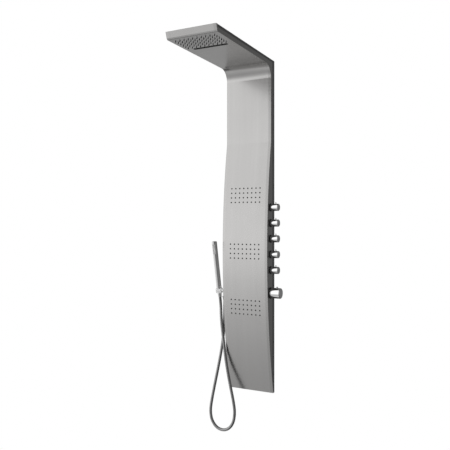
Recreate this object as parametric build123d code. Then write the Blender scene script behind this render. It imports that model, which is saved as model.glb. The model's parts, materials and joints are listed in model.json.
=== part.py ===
from build123d import *
import math
import os

# A wall-hung shower column: a bent stainless sheet with a rain arm, body jets,
# five on/off knobs, a thermostatic knob and a wand hand shower on a hose.
#
# Frame, in millimetres: +X to the user's right, -Y out of the wall towards the
# user, +Z up. The wall is the plane Y = 0. The origin is on the wall, in the
# middle of the four wall-screw holes.
# The construction is laid out as "d", the distance out from the wall, and "up",
# the height above the column's foot.

# ---------------------------------------------------------------- shell
HEIGHT = 1500.0          # foot to the top of the arm
WIDTH = 220.0            # over the side plates
REACH = 560.0            # wall to the nose of the arm
SHEET = 1.5              # stainless sheet, all shell pieces
ARM_THICK = 28.0         # arm, top to underside
FILLET_R = 55.0          # inside bend between upright and arm
UPRIGHT_DEPTH = 40.0     # front face of the flat upright
NOSE_SET_BACK = 10.0     # the nose leans back by this at the underside
NOSE_R = 8.0             # bend between underside and nose
BOW_TOP = 1130.0         # where the upright ends and the bow starts
BOW_MID = 600.0          # height of the bow's middle point
BOW_DEPTH = 84.0         # front face there
FOOT_DEPTH = 13.0        # front face at the foot
ROLL_WIDTH = 12.0        # strip along each long edge that is bent back
ROLL_DROP = 0.8          # how far that strip drops back
FIT = 0.3                # gap between pieces that only sit side by side
OVER = 1.0               # how far a cut runs past the face it opens

# ---------------------------------------------------------------- wall fixing
BRACKET_FROM_TOP = 200.0     # upper screw line below the top
BRACKET_FROM_FOOT = 300.0    # lower screw line above the foot
SCREW_SPACING_X = 120.0
SCREW_HOLE_R = 3.25
BRACKET_HALF_X = 75.0
BRACKET_HALF_Z = 16.0
BRACKET_SHEET = 2.0
HOOK_OUT = 9.0               # front of the hook's upturned lip
HOOK_RISE = 12.0             # height of that lip
RAIL_DEPTH = 18.0            # front edge of the hanger rail
RAIL_CLEAR = 1.0             # rail above the bracket's arm when it hangs

# ---------------------------------------------------------------- rain arm
RAIN_PITCH_X = 19.0
RAIN_PITCH_D = 19.0
RAIN_ROWS = 6
RAIN_SHIFT_X = -4.0          # nozzle field's middle, to the user's left
RAIN_SIDE_MARGIN = 4.5       # least mat beside the outer nozzles
RAIN_FROM_NOSE = 88.5        # middle of the nozzle field behind the nose
RAIN_MARGIN = 10.0           # mat in front of the first row and behind the last
RAIN_HOLE_R = 3.1
SLOT_FROM_NOSE = 159.0       # waterfall slot behind the nose
SLOT_FROM_SIDE = 37.0        # end of the slot in from the side
SLOT_WIDTH = 8.0
LIP_WALL = 1.2               # wall of the lip that lines the slot
LIP_PROUD = 0.8              # lip below the sheet
CHAMBER_HEIGHT = 15.0
CHAMBER_WALL = 2.0
WATERFALL_BACK = 29.0        # waterfall chamber behind the slot's middle
WATERFALL_FRONT = 7.0        # and in front of it
WATERFALL_SIDE = 4.0         # and beyond the slot's ends
TAB_LENGTH = 14.0            # cover tab, in from the side plate
TAB_WIDTH = 16.0
TAB_SHEET = 2.0
COVER_SCREW_R = 2.0
COVER_HEAD_R = 3.8
COVER_HEAD_HEIGHT = 2.2
COVER_HEAD_TAPER = 1.2       # head's top narrower than its base by this
COVER_SOCKET_R = 1.3
COVER_SOCKET_DEEP = 1.3
COVER_SCREW_LENGTH = 7.0
COVER_SCREW_INSET = 9.0      # screw line in from the side plate
COVER_SCREW_FROM_WALL = 30.0
COVER_SCREW_FROM_NOSE = 40.0

# ---------------------------------------------------------------- body jets
JET_ROWS = 4
JET_COLUMNS = 8
JET_PITCH_X = 20.0
JET_PITCH_Z = 21.0
JET_GROUPS = (892.0, 640.0, 388.0)   # height of each group's middle
JET_HOLE_R = 2.6
MAT_THICK = 2.5
MAT_GAP = 0.2                # mat to sheet
NOZZLE_GAP = 0.25            # nozzle to its hole
NOZZLE_PROUD = 1.0           # nozzle tip beyond the sheet
NOZZLE_TAPER = 0.82          # tip's radius as a share of the base's
NOZZLE_BORE_R = 0.9
NOZZLE_BORE_DEPTH = 2.2
JET_MARGIN = 12.0            # mat beyond the outer jets
JET_CHAMBER_DEPTH = 16.0
JET_CHAMBER_WALL = 2.5

# ---------------------------------------------------------------- pipes
PIPE_R = 5.0
PIPE_WALL = 1.0
SPIGOT_R = 7.0
SPIGOT_LENGTH = 9.0
SPIGOT_INSET = 1.0           # rain spigot in from its chamber's side
PIPE_SOCKET = 4.0            # how far a pipe goes into a spigot
PIPE_BEND_R = 20.0
PIPE_DEPTH = 29.0            # both rising pipes out from the wall
ARM_PIPE_UP = 12.0           # both pipes above the arm's underside
JET_PIPE_X = -20.0
MIDDLE_FEED_X = -45.0
JET_PORT_OFFSET = 5.0        # jet ports in front of the knob axes
HAND_PIPE_FROM_SIDE = 36.5   # hand shower pipe in from the left side plate
RAIN_PIPE_RISE = 40.0        # straight start of the rain pipe
RAIN_PIPE_SHIFT = 70.0       # height over which it then moves across
JET_PIPE_SHIFT = 60.0        # the same for the upper jet pipe
LINK_PIPE_LEAD = 25.0        # straight ends of the lower jet pipe

# ---------------------------------------------------------------- valves
KNOB_DEPTH = 40.0            # knob axes out from the wall
KNOB_HEIGHTS = {"rain": 837.0, "waterfall": 767.0, "upper_jets": 697.0,
                "lower_jets": 627.0, "hand_shower": 557.0}
KNOB_R = 16.0
KNOB_LENGTH = 36.0
KNOB_GAP = 0.5               # knob to its ring
KNOB_END_R = 4.0
KNOB_BASE_R = 1.0
RING_R = 18.0
RING_THICK = 2.5
RING_EDGE_R = 1.2
PIN_R = 2.3
PIN_RISE = 7.0               # pin above the knob
PIN_DEEP = 5.0
PIN_FROM_BASE = 21.0
PIN_END_R = 1.4
SPINDLE_R = 4.0
SPINDLE_CLEARANCE = 0.05
SPINDLE_IN_KNOB = 22.0
SPINDLE_END_GAP = 1.0        # at each end of a spindle in its bore
CARTRIDGE_FLOOR = 4.0        # bore starts this far out of the manifold
NECK_R = 8.0
NECK_CLEARANCE = 0.5
CARTRIDGE_R = 11.0
CARTRIDGE_DEEP = 11.0        # in the manifold
CARTRIDGE_OUT = 22.0         # out of it
CARTRIDGE_NUT_WALL = 3.5     # nut's corners beyond its bore
CARTRIDGE_NUT_LENGTH = 10.0
MANIFOLD_INSET = 46.0        # manifold's valve face in from the side
MANIFOLD_SIZE = 28.0         # its square section
MANIFOLD_END = 22.0          # metal beyond the end valves
WATERWAY_R = 6.0
PLUG_THREAD = 10.0

TEMP_HEIGHT = 455.0
TEMP_KNOB_R = 23.5
TEMP_KNOB_LENGTH = 46.0
TEMP_RING_R = 26.0
TEMP_SPINDLE_R = 5.0
TEMP_NECK_R = 10.0
TEMP_CARTRIDGE_R = 15.0
TEMP_CARTRIDGE_DEEP = 24.0
TEMP_NUT_WALL = 4.0
MIXER_WIDTH = 64.0
MIXER_HEIGHT = 46.0
MIXER_BACK = 14.0            # mixer block behind the inlets' axes
INLET_DEPTH = 28.0           # inlets' axes out from the wall
MIXER_EXTRA = 3.0            # mixer block beyond the bar, front and back
SCALE_LENGTH = 6.0
SCALE_THICK = 1.5
BUTTON_R = 4.0
BUTTON_CLEARANCE = 0.3
BUTTON_RISE = 5.0            # above the knob
BUTTON_IN = 5.0              # in its bore
BUTTON_FROM_BASE = 27.0
BUTTON_END_R = 1.5
SPRING_HEIGHT = 5.0
SPRING_R = 2.8
SPRING_WIRE_R = 0.4
SPRING_PITCH = 1.4

INLET_SPACING = 34.0
INLET_FROM_FACE = 14.0       # hot inlet behind the manifold's valve face
INLET_R = 10.48              # G1/2 male thread
INLET_LENGTH = 15.0
INLET_HEX = 24.0
INLET_HEX_LENGTH = 8.0
INLET_BORE_R = 6.5
INLET_STEM_R = 9.48          # plain end in the mixer block
INLET_STEM = 6.0

# ---------------------------------------------------------------- hand shower
HOLDER_OUT = 30.0            # ring axis beyond the left side
HOLDER_DEPTH = 59.0
HOLDER_HEIGHT = 455.0
HOLDER_R = 16.5
HOLDER_LENGTH = 18.0
HOLDER_GAP = 0.4             # holder to wand
HOLDER_EDGE_R = 1.5
HOLDER_STEM_R = 6.0
HOLDER_STEM_IN_RING = 3.0
HOLDER_STEM_INSIDE = 12.0    # stem's thread behind the side plate's face
HOLDER_FOOT_R = 14.0
HOLDER_FOOT = 4.0
HOLDER_NUT_R = 11.0
HOLDER_NUT_THICK = 6.0
WAND_TILT = 12.3             # degrees, top leaning to the user
WAND_R = 11.5
WAND_WALL = 1.5
WAND_TAIL_R = 9.2            # narrow end of the conical tail
WAND_TOP = 232.0             # end of the wand above the holder's middle
TAIL_HALF = 12.0             # conical tail, each side of the holder's middle
TAIL_PLUG = 8.0              # tail's spigot in the barrel
END_CAP = 4.0
END_CAP_EDGE_R = 2.0
END_PLUG = 6.0
FACE_LENGTH = 47.0
FACE_WIDTH = 13.0
FACE_FROM_END = 10.0
FACE_THICK = 3.0
FACE_BACK = 4.0              # window's back edge in front of the wand's axis
FACE_CORNER_R = 4.3
FACE_NOZZLES = 9
FACE_NOZZLE_PITCH = 4.6
FACE_ROW_PITCH = 4.4
FACE_NOZZLE_BASE_R = 1.2
FACE_NOZZLE_TIP_R = 0.9
FACE_NOZZLE_DEEP = 2.5
FACE_NOZZLE_PROUD = 0.3
CORE_R = 6.0                 # water tube inside the wand
CORE_WALL = 1.5
HOSE_NUT_LENGTH = 19.0
HOSE_NUT_END_R = 7.9
ELBOW_OUT = 16.0             # elbow axis beyond the left side
ELBOW_DEPTH = 33.0
ELBOW_HEIGHT = 440.0
ELBOW_R = 9.0
ELBOW_BORE_R = 4.0
ELBOW_DROP = 14.0
ELBOW_FOOT_R = 13.0
ELBOW_FOOT = 3.0
ELBOW_STUB = 12.0            # stub inside the side plate
THREAD_R = 7.5               # elbow's thread in the hose nut
THREAD_LENGTH = 12.0
OUTLET_NUT_R = 10.5
OUTLET_NUT_LENGTH = 17.0
OUTLET_NUT_LIP = 1.0         # nut's lower end wider than the hose
HOSE_R = 6.75
HOSE_GAP = 0.3

# The hose hangs from the outlet, round a long loop below the foot and up to the
# wand. Each point is (x, d, up), chosen by hand, with x from the outlet's axis. The
# hose leaves each nut in line with it, by HOSE_LEAD_OUT at the outlet and
# HOSE_LEAD_WAND at the wand. Its two pieces meet halfway along the run that starts
# at the point HOSE_SPLIT.
HOSE_POINTS = [
    (-3.5, 34.5, 262.0), (-11.0, 38.5, 190.0), (-23.5, 43.5, 115.0),
    (-42.0, 49.0, 20.0), (-58.0, 53.0, -62.0), (-64.5, 54.5, -113.0),
    (-55.0, 56.0, -157.0), (-23.0, 57.5, -189.0), (22.5, 59.0, -189.0),
    (57.0, 60.0, -155.0), (67.5, 61.0, -102.0), (60.5, 61.6, -50.0),
    (39.5, 61.2, 38.0), (21.5, 60.0, 125.0), (9.5, 57.0, 205.0),
    (-3.5, 51.0, 275.0), (-11.5, 46.5, 332.0),
]
HOSE_LEAD_OUT = 62.0
HOSE_LEAD_WAND = 42.0
HOSE_SPLIT = 13
ARC_SHARE = 0.45             # arc length on each run, as a share of it

# ---------------------------------------------------------------- derived
ORIGIN_UP = (BRACKET_FROM_FOOT + HEIGHT - BRACKET_FROM_TOP) / 2
UNDERSIDE = HEIGHT - ARM_THICK
SIDE = WIDTH / 2
INNER = SIDE - SHEET
SLOT_LENGTH = 2 * (SIDE - SLOT_FROM_SIDE)


def at(x, d, up):
    """The frame's point at x, d out from the wall and up above the foot."""
    return Vector(x, -d, up - ORIGIN_UP)


def block(x0, x1, d0, d1, up0, up1):
    """A box between two values of x, of d and of up."""
    size = Box(abs(x1 - x0), abs(d1 - d0), abs(up1 - up0))
    return Pos(at((x0 + x1) / 2, (d0 + d1) / 2, (up0 + up1) / 2)) * size


def rod(start, end, r0, r1=None):
    """A cylinder, or a cone from r0 to r1, between two points."""
    run = end - start
    plane = Plane(origin=start, z_dir=run)
    if r1 is None or r1 == r0:
        return Part([Solid.make_cylinder(r0, run.length, plane)])
    return Part([Solid.make_cone(r0, r1, run.length, plane)])


def pipe(points, bends, radius, bore=None):
    """A round bar or tube along straight runs joined by tangent arcs."""
    path = FilletPolyline(*points, radius=bends)
    section = Circle(radius) if bore is None else Circle(radius) - Circle(bore)
    return sweep(Plane(origin=path @ 0, z_dir=path % 0) * section, path=path)


def write(name, shape):
    """Write one node's STEP file."""
    export_step(shape, os.path.join("parts", name + ".step"))
    print(name, round(shape.volume, 1))


def group(solids):
    """Several separate solids in one node."""
    return Compound([solid for item in solids for solid in item.solids()])


# ---------------------------------------------------------------- side outline
def bow_circle():
    """Middle height, middle depth and radius of the bow's circle."""
    u0, d0 = 0.0, FOOT_DEPTH
    u1, d1 = BOW_MID, BOW_DEPTH
    u2, d2 = BOW_TOP, UPRIGHT_DEPTH
    a1, b1, c1 = 2 * (u1 - u0), 2 * (d1 - d0), u1 ** 2 - u0 ** 2 + d1 ** 2 - d0 ** 2
    a2, b2, c2 = 2 * (u2 - u1), 2 * (d2 - d1), u2 ** 2 - u1 ** 2 + d2 ** 2 - d1 ** 2
    det = a1 * b2 - a2 * b1
    up = (c1 * b2 - c2 * b1) / det
    depth = (a1 * c2 - a2 * c1) / det
    return up, depth, math.hypot(u0 - up, d0 - depth)


BOW_UP, BOW_CENTRE, BOW_R = bow_circle()


def bow_depth(up, inset=0.0):
    """Depth of the bow's face, or of a face inset behind it, at a height."""
    return BOW_CENTRE + math.sqrt((BOW_R - inset) ** 2 - (up - BOW_UP) ** 2)


def outline(x, inset=0.0, shift=0.0):
    """The column's side outline at x, inset from the front and shifted back."""
    upright = UPRIGHT_DEPTH - inset
    top_of_bow = BOW_UP + math.sqrt((BOW_R - inset) ** 2 - (upright - BOW_CENTRE) ** 2)
    fillet_d = UPRIGHT_DEPTH + FILLET_R
    fillet_up = UNDERSIDE - FILLET_R
    fillet_r = FILLET_R + inset
    lean = math.atan2(NOSE_SET_BACK, ARM_THICK)
    nose_r = NOSE_R - inset
    nose_d = REACH - NOSE_SET_BACK - NOSE_R * math.tan((math.pi / 2 - lean) / 2)
    nose_up = UNDERSIDE + NOSE_R
    half = (math.pi / 2 - lean) / 2

    def spot(d, up):
        return at(x, d - shift, up)

    wall_foot = at(x, 0, 0)
    wall_top = at(x, 0, HEIGHT)
    foot = spot(bow_depth(0, inset), 0)
    bow_mid = spot(bow_depth(top_of_bow / 2, inset), top_of_bow / 2)
    bow_end = spot(upright, top_of_bow)
    fillet_start = spot(upright, fillet_up)
    diagonal = fillet_r * math.sqrt(0.5)
    fillet_mid = spot(fillet_d - diagonal, fillet_up + diagonal)
    fillet_end = spot(fillet_d, fillet_up + fillet_r)
    nose_start = spot(nose_d, nose_up - nose_r)
    nose_mid = spot(nose_d + nose_r * math.sin(half), nose_up - nose_r * math.cos(half))
    nose_end = spot(nose_d + nose_r * math.sin(2 * half), nose_up - nose_r * math.cos(2 * half))
    nose_top = spot(REACH - inset / math.cos(lean), HEIGHT)
    edges = [
        Edge.make_line(wall_foot, foot),
        Edge.make_three_point_arc(foot, bow_mid, bow_end),
        Edge.make_line(bow_end, fillet_start),
        Edge.make_three_point_arc(fillet_start, fillet_mid, fillet_end),
        Edge.make_line(fillet_end, nose_start),
        Edge.make_three_point_arc(nose_start, nose_mid, nose_end),
        Edge.make_line(nose_end, nose_top),
        Edge.make_line(nose_top, wall_top),
        Edge.make_line(wall_top, wall_foot),
    ]
    return Face(Wire(edges))


def slab(face, run):
    """A solid made by moving a face along a vector."""
    return Part([Solid.extrude(face, run)])


def layer(x0, x1, inset, thick, up0, up1):
    """A curved plate of a given thickness that lies behind the bow."""
    middle = (up0 + up1) / 2
    front = [at(x0, bow_depth(up, inset), up) for up in (up0, middle, up1)]
    back = [at(x0, bow_depth(up, inset + thick), up) for up in (up1, middle, up0)]
    edges = [Edge.make_three_point_arc(*front), Edge.make_line(front[2], back[0]),
             Edge.make_three_point_arc(*back), Edge.make_line(back[2], front[0])]
    return slab(Face(Wire(edges)), Vector(x1 - x0, 0, 0))


def across(count, pitch):
    """Evenly spaced places, centred on zero."""
    return [(i - (count - 1) / 2) * pitch for i in range(count)]


# ---------------------------------------------------------------- layouts
rain_half = INNER - TAB_LENGTH
rain_span = 2 * (rain_half - RAIN_SIDE_MARGIN - abs(RAIN_SHIFT_X))
rain_columns = int(rain_span / RAIN_PITCH_X) + 1
rain_middle = REACH - RAIN_FROM_NOSE
rain_places = []
for offset in across(RAIN_ROWS, RAIN_PITCH_D):
    for column in across(rain_columns, RAIN_PITCH_X):
        rain_places.append((column + RAIN_SHIFT_X, rain_middle + offset))
jet_places = []
for middle in JET_GROUPS:
    for rise in across(JET_ROWS, JET_PITCH_Z):
        for column in across(JET_COLUMNS, JET_PITCH_X):
            jet_places.append((column, middle + rise))
slot_d = REACH - SLOT_FROM_NOSE
knob_base = SIDE + RING_THICK + KNOB_GAP

# ---------------------------------------------------------------- shell pieces
def front_sheet():
    """Nose, underside, bend, upright and bow in one bent sheet, with its holes."""
    flat = SIDE - ROLL_WIDTH
    run = Vector(2 * flat, 0, 0)
    sheet = slab(outline(-flat), run) - slab(outline(-flat, SHEET), run)
    for side in (-1, 1):
        roll = Vector(side * (INNER - flat), ROLL_DROP, 0)
        section = outline(side * flat) - outline(side * flat, SHEET)
        sheet += slab(section.faces()[0], roll)
    holes = [rod(at(x, 0, up), at(x, REACH, up), JET_HOLE_R) for x, up in jet_places]
    for x, d in rain_places:
        holes.append(rod(at(x, d, UNDERSIDE - OVER), at(x, d, UNDERSIDE + SHEET + OVER), RAIN_HOLE_R))
    half = SLOT_LENGTH / 2
    slot = block(-half, half, slot_d - SLOT_WIDTH / 2, slot_d + SLOT_WIDTH / 2,
                 UNDERSIDE - OVER, UNDERSIDE + SHEET + OVER)
    holes.append(slot)
    return sheet - holes


def side_plate(side):
    """One side plate, with the holes for what passes through it."""
    plate = slab(outline(side * INNER, 0, ROLL_DROP), Vector(side * SHEET, 0, 0))
    holes = []
    if side > 0:
        for up in KNOB_HEIGHTS.values():
            holes.append((KNOB_DEPTH, up, NECK_R + NECK_CLEARANCE))
        holes.append((KNOB_DEPTH, TEMP_HEIGHT, TEMP_NECK_R + NECK_CLEARANCE))
    else:
        holes.append((ELBOW_DEPTH, ELBOW_HEIGHT, ELBOW_R + NECK_CLEARANCE))
        holes.append((HOLDER_DEPTH, HOLDER_HEIGHT, HOLDER_STEM_R + NECK_CLEARANCE))
    for d, up, radius in holes:
        plate -= rod(at(side * (INNER - OVER), d, up), at(side * (SIDE + OVER), d, up), radius)
    return plate


def cover_screw_places():
    """The six cover screws, as x and d."""
    x = INNER - COVER_SCREW_INSET
    depths = (COVER_SCREW_FROM_WALL, REACH / 2, REACH - COVER_SCREW_FROM_NOSE)
    return [(side * x, d) for side in (-1, 1) for d in depths]


def arm_top_cover():
    """The flat cover on top of the arm."""
    cover = block(-INNER, INNER, 0, REACH - 2 * SHEET - FIT, HEIGHT - SHEET, HEIGHT)
    for x, d in cover_screw_places():
        cover -= rod(at(x, d, HEIGHT - SHEET - OVER), at(x, d, HEIGHT + OVER), COVER_SCREW_R + FIT)
    return cover


def cover_tabs():
    """Folded tabs inside the side plates that take the cover screws."""
    tabs = []
    for x, d in cover_screw_places():
        side = math.copysign(1, x)
        tab = block(side * (INNER - TAB_LENGTH), side * INNER, d - TAB_WIDTH / 2, d + TAB_WIDTH / 2,
                    HEIGHT - SHEET - TAB_SHEET, HEIGHT - SHEET)
        low = HEIGHT - SHEET - TAB_SHEET - OVER
        tabs.append(tab - rod(at(x, d, low), at(x, d, HEIGHT), COVER_SCREW_R))
    return group(tabs)


def top_cover_screws():
    """Button-head screws that hold the cover."""
    screws = []
    for x, d in cover_screw_places():
        base = at(x, d, HEIGHT)
        top = at(x, d, HEIGHT + COVER_HEAD_HEIGHT)
        shank = rod(at(x, d, HEIGHT - COVER_SCREW_LENGTH), base, COVER_SCREW_R)
        head = rod(base, top, COVER_HEAD_R, COVER_HEAD_R - COVER_HEAD_TAPER)
        socket = rod(top - Vector(0, 0, COVER_SOCKET_DEEP), top, COVER_SOCKET_R)
        screws.append(shank + head - socket)
    return group(screws)


def foot_closure():
    """The small plate that closes the column's foot."""
    depth = bow_depth(SHEET, SHEET) - ROLL_DROP - FIT
    return block(-INNER, INNER, 0, depth, 0, SHEET)


def bracket_lines():
    """Heights of the two rows of wall screws."""
    return (HEIGHT - BRACKET_FROM_TOP, BRACKET_FROM_FOOT)


def wall_brackets():
    """Two hooked brackets that screw to the wall."""
    brackets = []
    for up in bracket_lines():
        top = up + BRACKET_HALF_Z
        half = BRACKET_HALF_X
        bracket = block(-half, half, 0, BRACKET_SHEET, up - BRACKET_HALF_Z, top)
        bracket += block(-half, half, 0, HOOK_OUT, top - BRACKET_SHEET, top)
        bracket += block(-half, half, HOOK_OUT - BRACKET_SHEET, HOOK_OUT,
                         top - BRACKET_SHEET, top + HOOK_RISE)
        for x in (-SCREW_SPACING_X / 2, SCREW_SPACING_X / 2):
            bracket -= rod(at(x, -OVER, up), at(x, BRACKET_SHEET + OVER, up), SCREW_HOLE_R)
        brackets.append(bracket)
    return group(brackets)


def hanger_rails():
    """Two rails across the back of the column that drop onto the brackets."""
    rails = []
    behind = (HOOK_OUT - BRACKET_SHEET) / 2
    for up in bracket_lines():
        seat = up + BRACKET_HALF_Z + HOOK_RISE
        rail = block(-INNER, INNER, behind, RAIL_DEPTH, seat, seat + BRACKET_SHEET)
        rail += block(-INNER, INNER, behind, behind + BRACKET_SHEET,
                      seat - HOOK_RISE + RAIL_CLEAR, seat)
        rail += block(-INNER, INNER, RAIL_DEPTH - BRACKET_SHEET, RAIL_DEPTH, seat, seat + HOOK_RISE)
        rails.append(rail)
    return group(rails)


# ---------------------------------------------------------------- rain arm
mat_base = UNDERSIDE + SHEET + MAT_GAP
mat_top = mat_base + MAT_THICK
chamber_top = mat_top + CHAMBER_HEIGHT
rain_front = rain_middle + (RAIN_ROWS - 1) / 2 * RAIN_PITCH_D + RAIN_MARGIN
rain_back = rain_middle - (RAIN_ROWS - 1) / 2 * RAIN_PITCH_D - RAIN_MARGIN
arm_pipe_up = UNDERSIDE + ARM_PIPE_UP
rain_pipe_x = rain_half - SPIGOT_R - SPIGOT_INSET


def nozzle(base, tip, hole_r):
    """A soft nozzle from the mat through its hole to the tip, less its bore."""
    radius = hole_r - NOZZLE_GAP
    bore = tip + (base - tip).normalized() * NOZZLE_BORE_DEPTH
    return rod(base, tip, radius, radius * NOZZLE_TAPER), rod(bore, tip, NOZZLE_BORE_R)


def rain_nozzle_mat():
    """Silicone mat with a nozzle through each rain hole."""
    mat = block(-rain_half, rain_half, rain_back, rain_front, mat_base, mat_top)
    pairs = [nozzle(at(x, d, mat_base + OVER), at(x, d, UNDERSIDE - NOZZLE_PROUD), RAIN_HOLE_R)
             for x, d in rain_places]
    return mat + [solid for solid, bore in pairs] - [bore for solid, bore in pairs]


def rain_chamber():
    """Shallow water box over the rain mat, with its inlet at the back."""
    wall = CHAMBER_WALL
    box = block(-rain_half, rain_half, rain_back, rain_front, mat_top, chamber_top)
    box -= block(wall - rain_half, rain_half - wall, rain_back + wall, rain_front - wall,
                 mat_top, chamber_top - wall)
    port = at(rain_pipe_x, rain_back + wall, arm_pipe_up)
    back = at(rain_pipe_x, rain_back - SPIGOT_LENGTH, arm_pipe_up)
    box += rod(port, back, SPIGOT_R)
    box -= rod(at(rain_pipe_x, rain_back - SPIGOT_LENGTH + PIPE_SOCKET, arm_pipe_up), back, PIPE_R)
    return box - rod(port, back, PIPE_R - PIPE_WALL)


fall_half = SLOT_LENGTH / 2 + WATERFALL_SIDE
fall_pipe_x = -(fall_half - SPIGOT_R - PIPE_R)
fall_back = slot_d - WATERFALL_BACK
fall_front = slot_d + WATERFALL_FRONT


def waterfall_chamber():
    """Water box over the slot, with its inlet at the back."""
    wall = CHAMBER_WALL
    floor = UNDERSIDE + SHEET + MAT_GAP
    box = block(-fall_half, fall_half, fall_back, fall_front, floor, chamber_top)
    box -= block(wall - fall_half, fall_half - wall, fall_back + wall, fall_front - wall,
                 floor + wall, chamber_top - wall)
    half_x = SLOT_LENGTH / 2 - FIT
    half_d = SLOT_WIDTH / 2 - FIT
    box -= block(-half_x, half_x, slot_d - half_d, slot_d + half_d, floor, floor + wall)
    port = at(fall_pipe_x, fall_back + wall, arm_pipe_up)
    back = at(fall_pipe_x, fall_back - SPIGOT_LENGTH, arm_pipe_up)
    box += rod(port, back, SPIGOT_R)
    box -= rod(at(fall_pipe_x, fall_back - SPIGOT_LENGTH + PIPE_SOCKET, arm_pipe_up), back, PIPE_R)
    return box - rod(port, back, PIPE_R - PIPE_WALL)


def waterfall_lip():
    """Moulded lip that lines the slot and guides the sheet of water."""
    half_x = SLOT_LENGTH / 2 - FIT
    half_d = SLOT_WIDTH / 2 - FIT
    low = UNDERSIDE - LIP_PROUD
    high = UNDERSIDE + SHEET + MAT_GAP + CHAMBER_WALL
    lip = block(-half_x, half_x, slot_d - half_d, slot_d + half_d, low, high)
    half_x -= LIP_WALL
    half_d -= LIP_WALL
    return lip - block(-half_x, half_x, slot_d - half_d, slot_d + half_d, low, high)


# ---------------------------------------------------------------- body jets
mat_inset = SHEET + MAT_GAP
chamber_inset = mat_inset + MAT_THICK
jet_half_x = (JET_COLUMNS - 1) / 2 * JET_PITCH_X + JET_MARGIN
jet_half_z = (JET_ROWS - 1) / 2 * JET_PITCH_Z + JET_MARGIN


def jet_nozzle_mats():
    """Three silicone mats, each with a nozzle through every jet hole of its group."""
    mats = []
    for middle in JET_GROUPS:
        mat = layer(-jet_half_x, jet_half_x, mat_inset, MAT_THICK,
                    middle - jet_half_z, middle + jet_half_z)
        pairs = []
        for x, up in jet_places:
            if abs(up - middle) < jet_half_z:
                face = bow_depth(up)
                base = at(x, face - SHEET - OVER, up)
                pairs.append(nozzle(base, at(x, face + NOZZLE_PROUD, up), JET_HOLE_R))
        mats.append(mat + [solid for solid, bore in pairs] - [bore for solid, bore in pairs])
    return group(mats)


def jet_chambers():
    """Three water boxes behind the jet mats, each with its spigots."""
    boxes = []
    wall = JET_CHAMBER_WALL
    back_inset = chamber_inset + JET_CHAMBER_DEPTH
    for place, middle in enumerate(JET_GROUPS):
        low, high = middle - jet_half_z, middle + jet_half_z
        box = layer(-jet_half_x, jet_half_x, chamber_inset, JET_CHAMBER_DEPTH, low, high)
        box -= layer(wall - jet_half_x, jet_half_x - wall, chamber_inset - OVER,
                     JET_CHAMBER_DEPTH - wall + OVER, low + wall, high - wall)
        ports = []
        depth = jet_pipe_depth(place)
        if place < 2:
            ports.append((at(JET_PIPE_X, depth, low + wall),
                          at(JET_PIPE_X, depth, low - SPIGOT_LENGTH)))
        else:
            ports.append((at(JET_PIPE_X, depth, high - wall),
                          at(JET_PIPE_X, depth, high + SPIGOT_LENGTH)))
        if place == 1:
            up = KNOB_HEIGHTS["lower_jets"]
            back = bow_depth(up, back_inset)
            ports.append((at(MIDDLE_FEED_X, back + wall, up),
                          at(MIDDLE_FEED_X, back - SPIGOT_LENGTH, up)))
        for inner, outer in ports:
            box += rod(inner, outer, SPIGOT_R)
        for inner, outer in ports:
            step = outer + (inner - outer).normalized() * PIPE_SOCKET
            box -= rod(inner, outer, PIPE_R - PIPE_WALL)
            box -= rod(step, outer, PIPE_R)
        boxes.append(box)
    return group(boxes)


def jet_pipe_depth(place):
    """Depth of a chamber's end spigot, in the middle of its end wall."""
    middle = JET_GROUPS[place]
    end = middle - jet_half_z if place < 2 else middle + jet_half_z
    return bow_depth(end, chamber_inset + JET_CHAMBER_DEPTH / 2)


# ---------------------------------------------------------------- valves
valve_face = SIDE - MANIFOLD_INSET
valve_back = valve_face - MANIFOLD_SIZE
manifold_high = max(KNOB_HEIGHTS.values()) + MANIFOLD_END
mixer_mid_x = valve_face - MANIFOLD_SIZE / 2
mixer_low = TEMP_HEIGHT - MIXER_HEIGHT / 2
port_depth = {"waterfall": PIPE_DEPTH + 1, "upper_jets": KNOB_DEPTH + JET_PORT_OFFSET,
              "lower_jets": KNOB_DEPTH + JET_PORT_OFFSET, "hand_shower": ELBOW_DEPTH}


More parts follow.
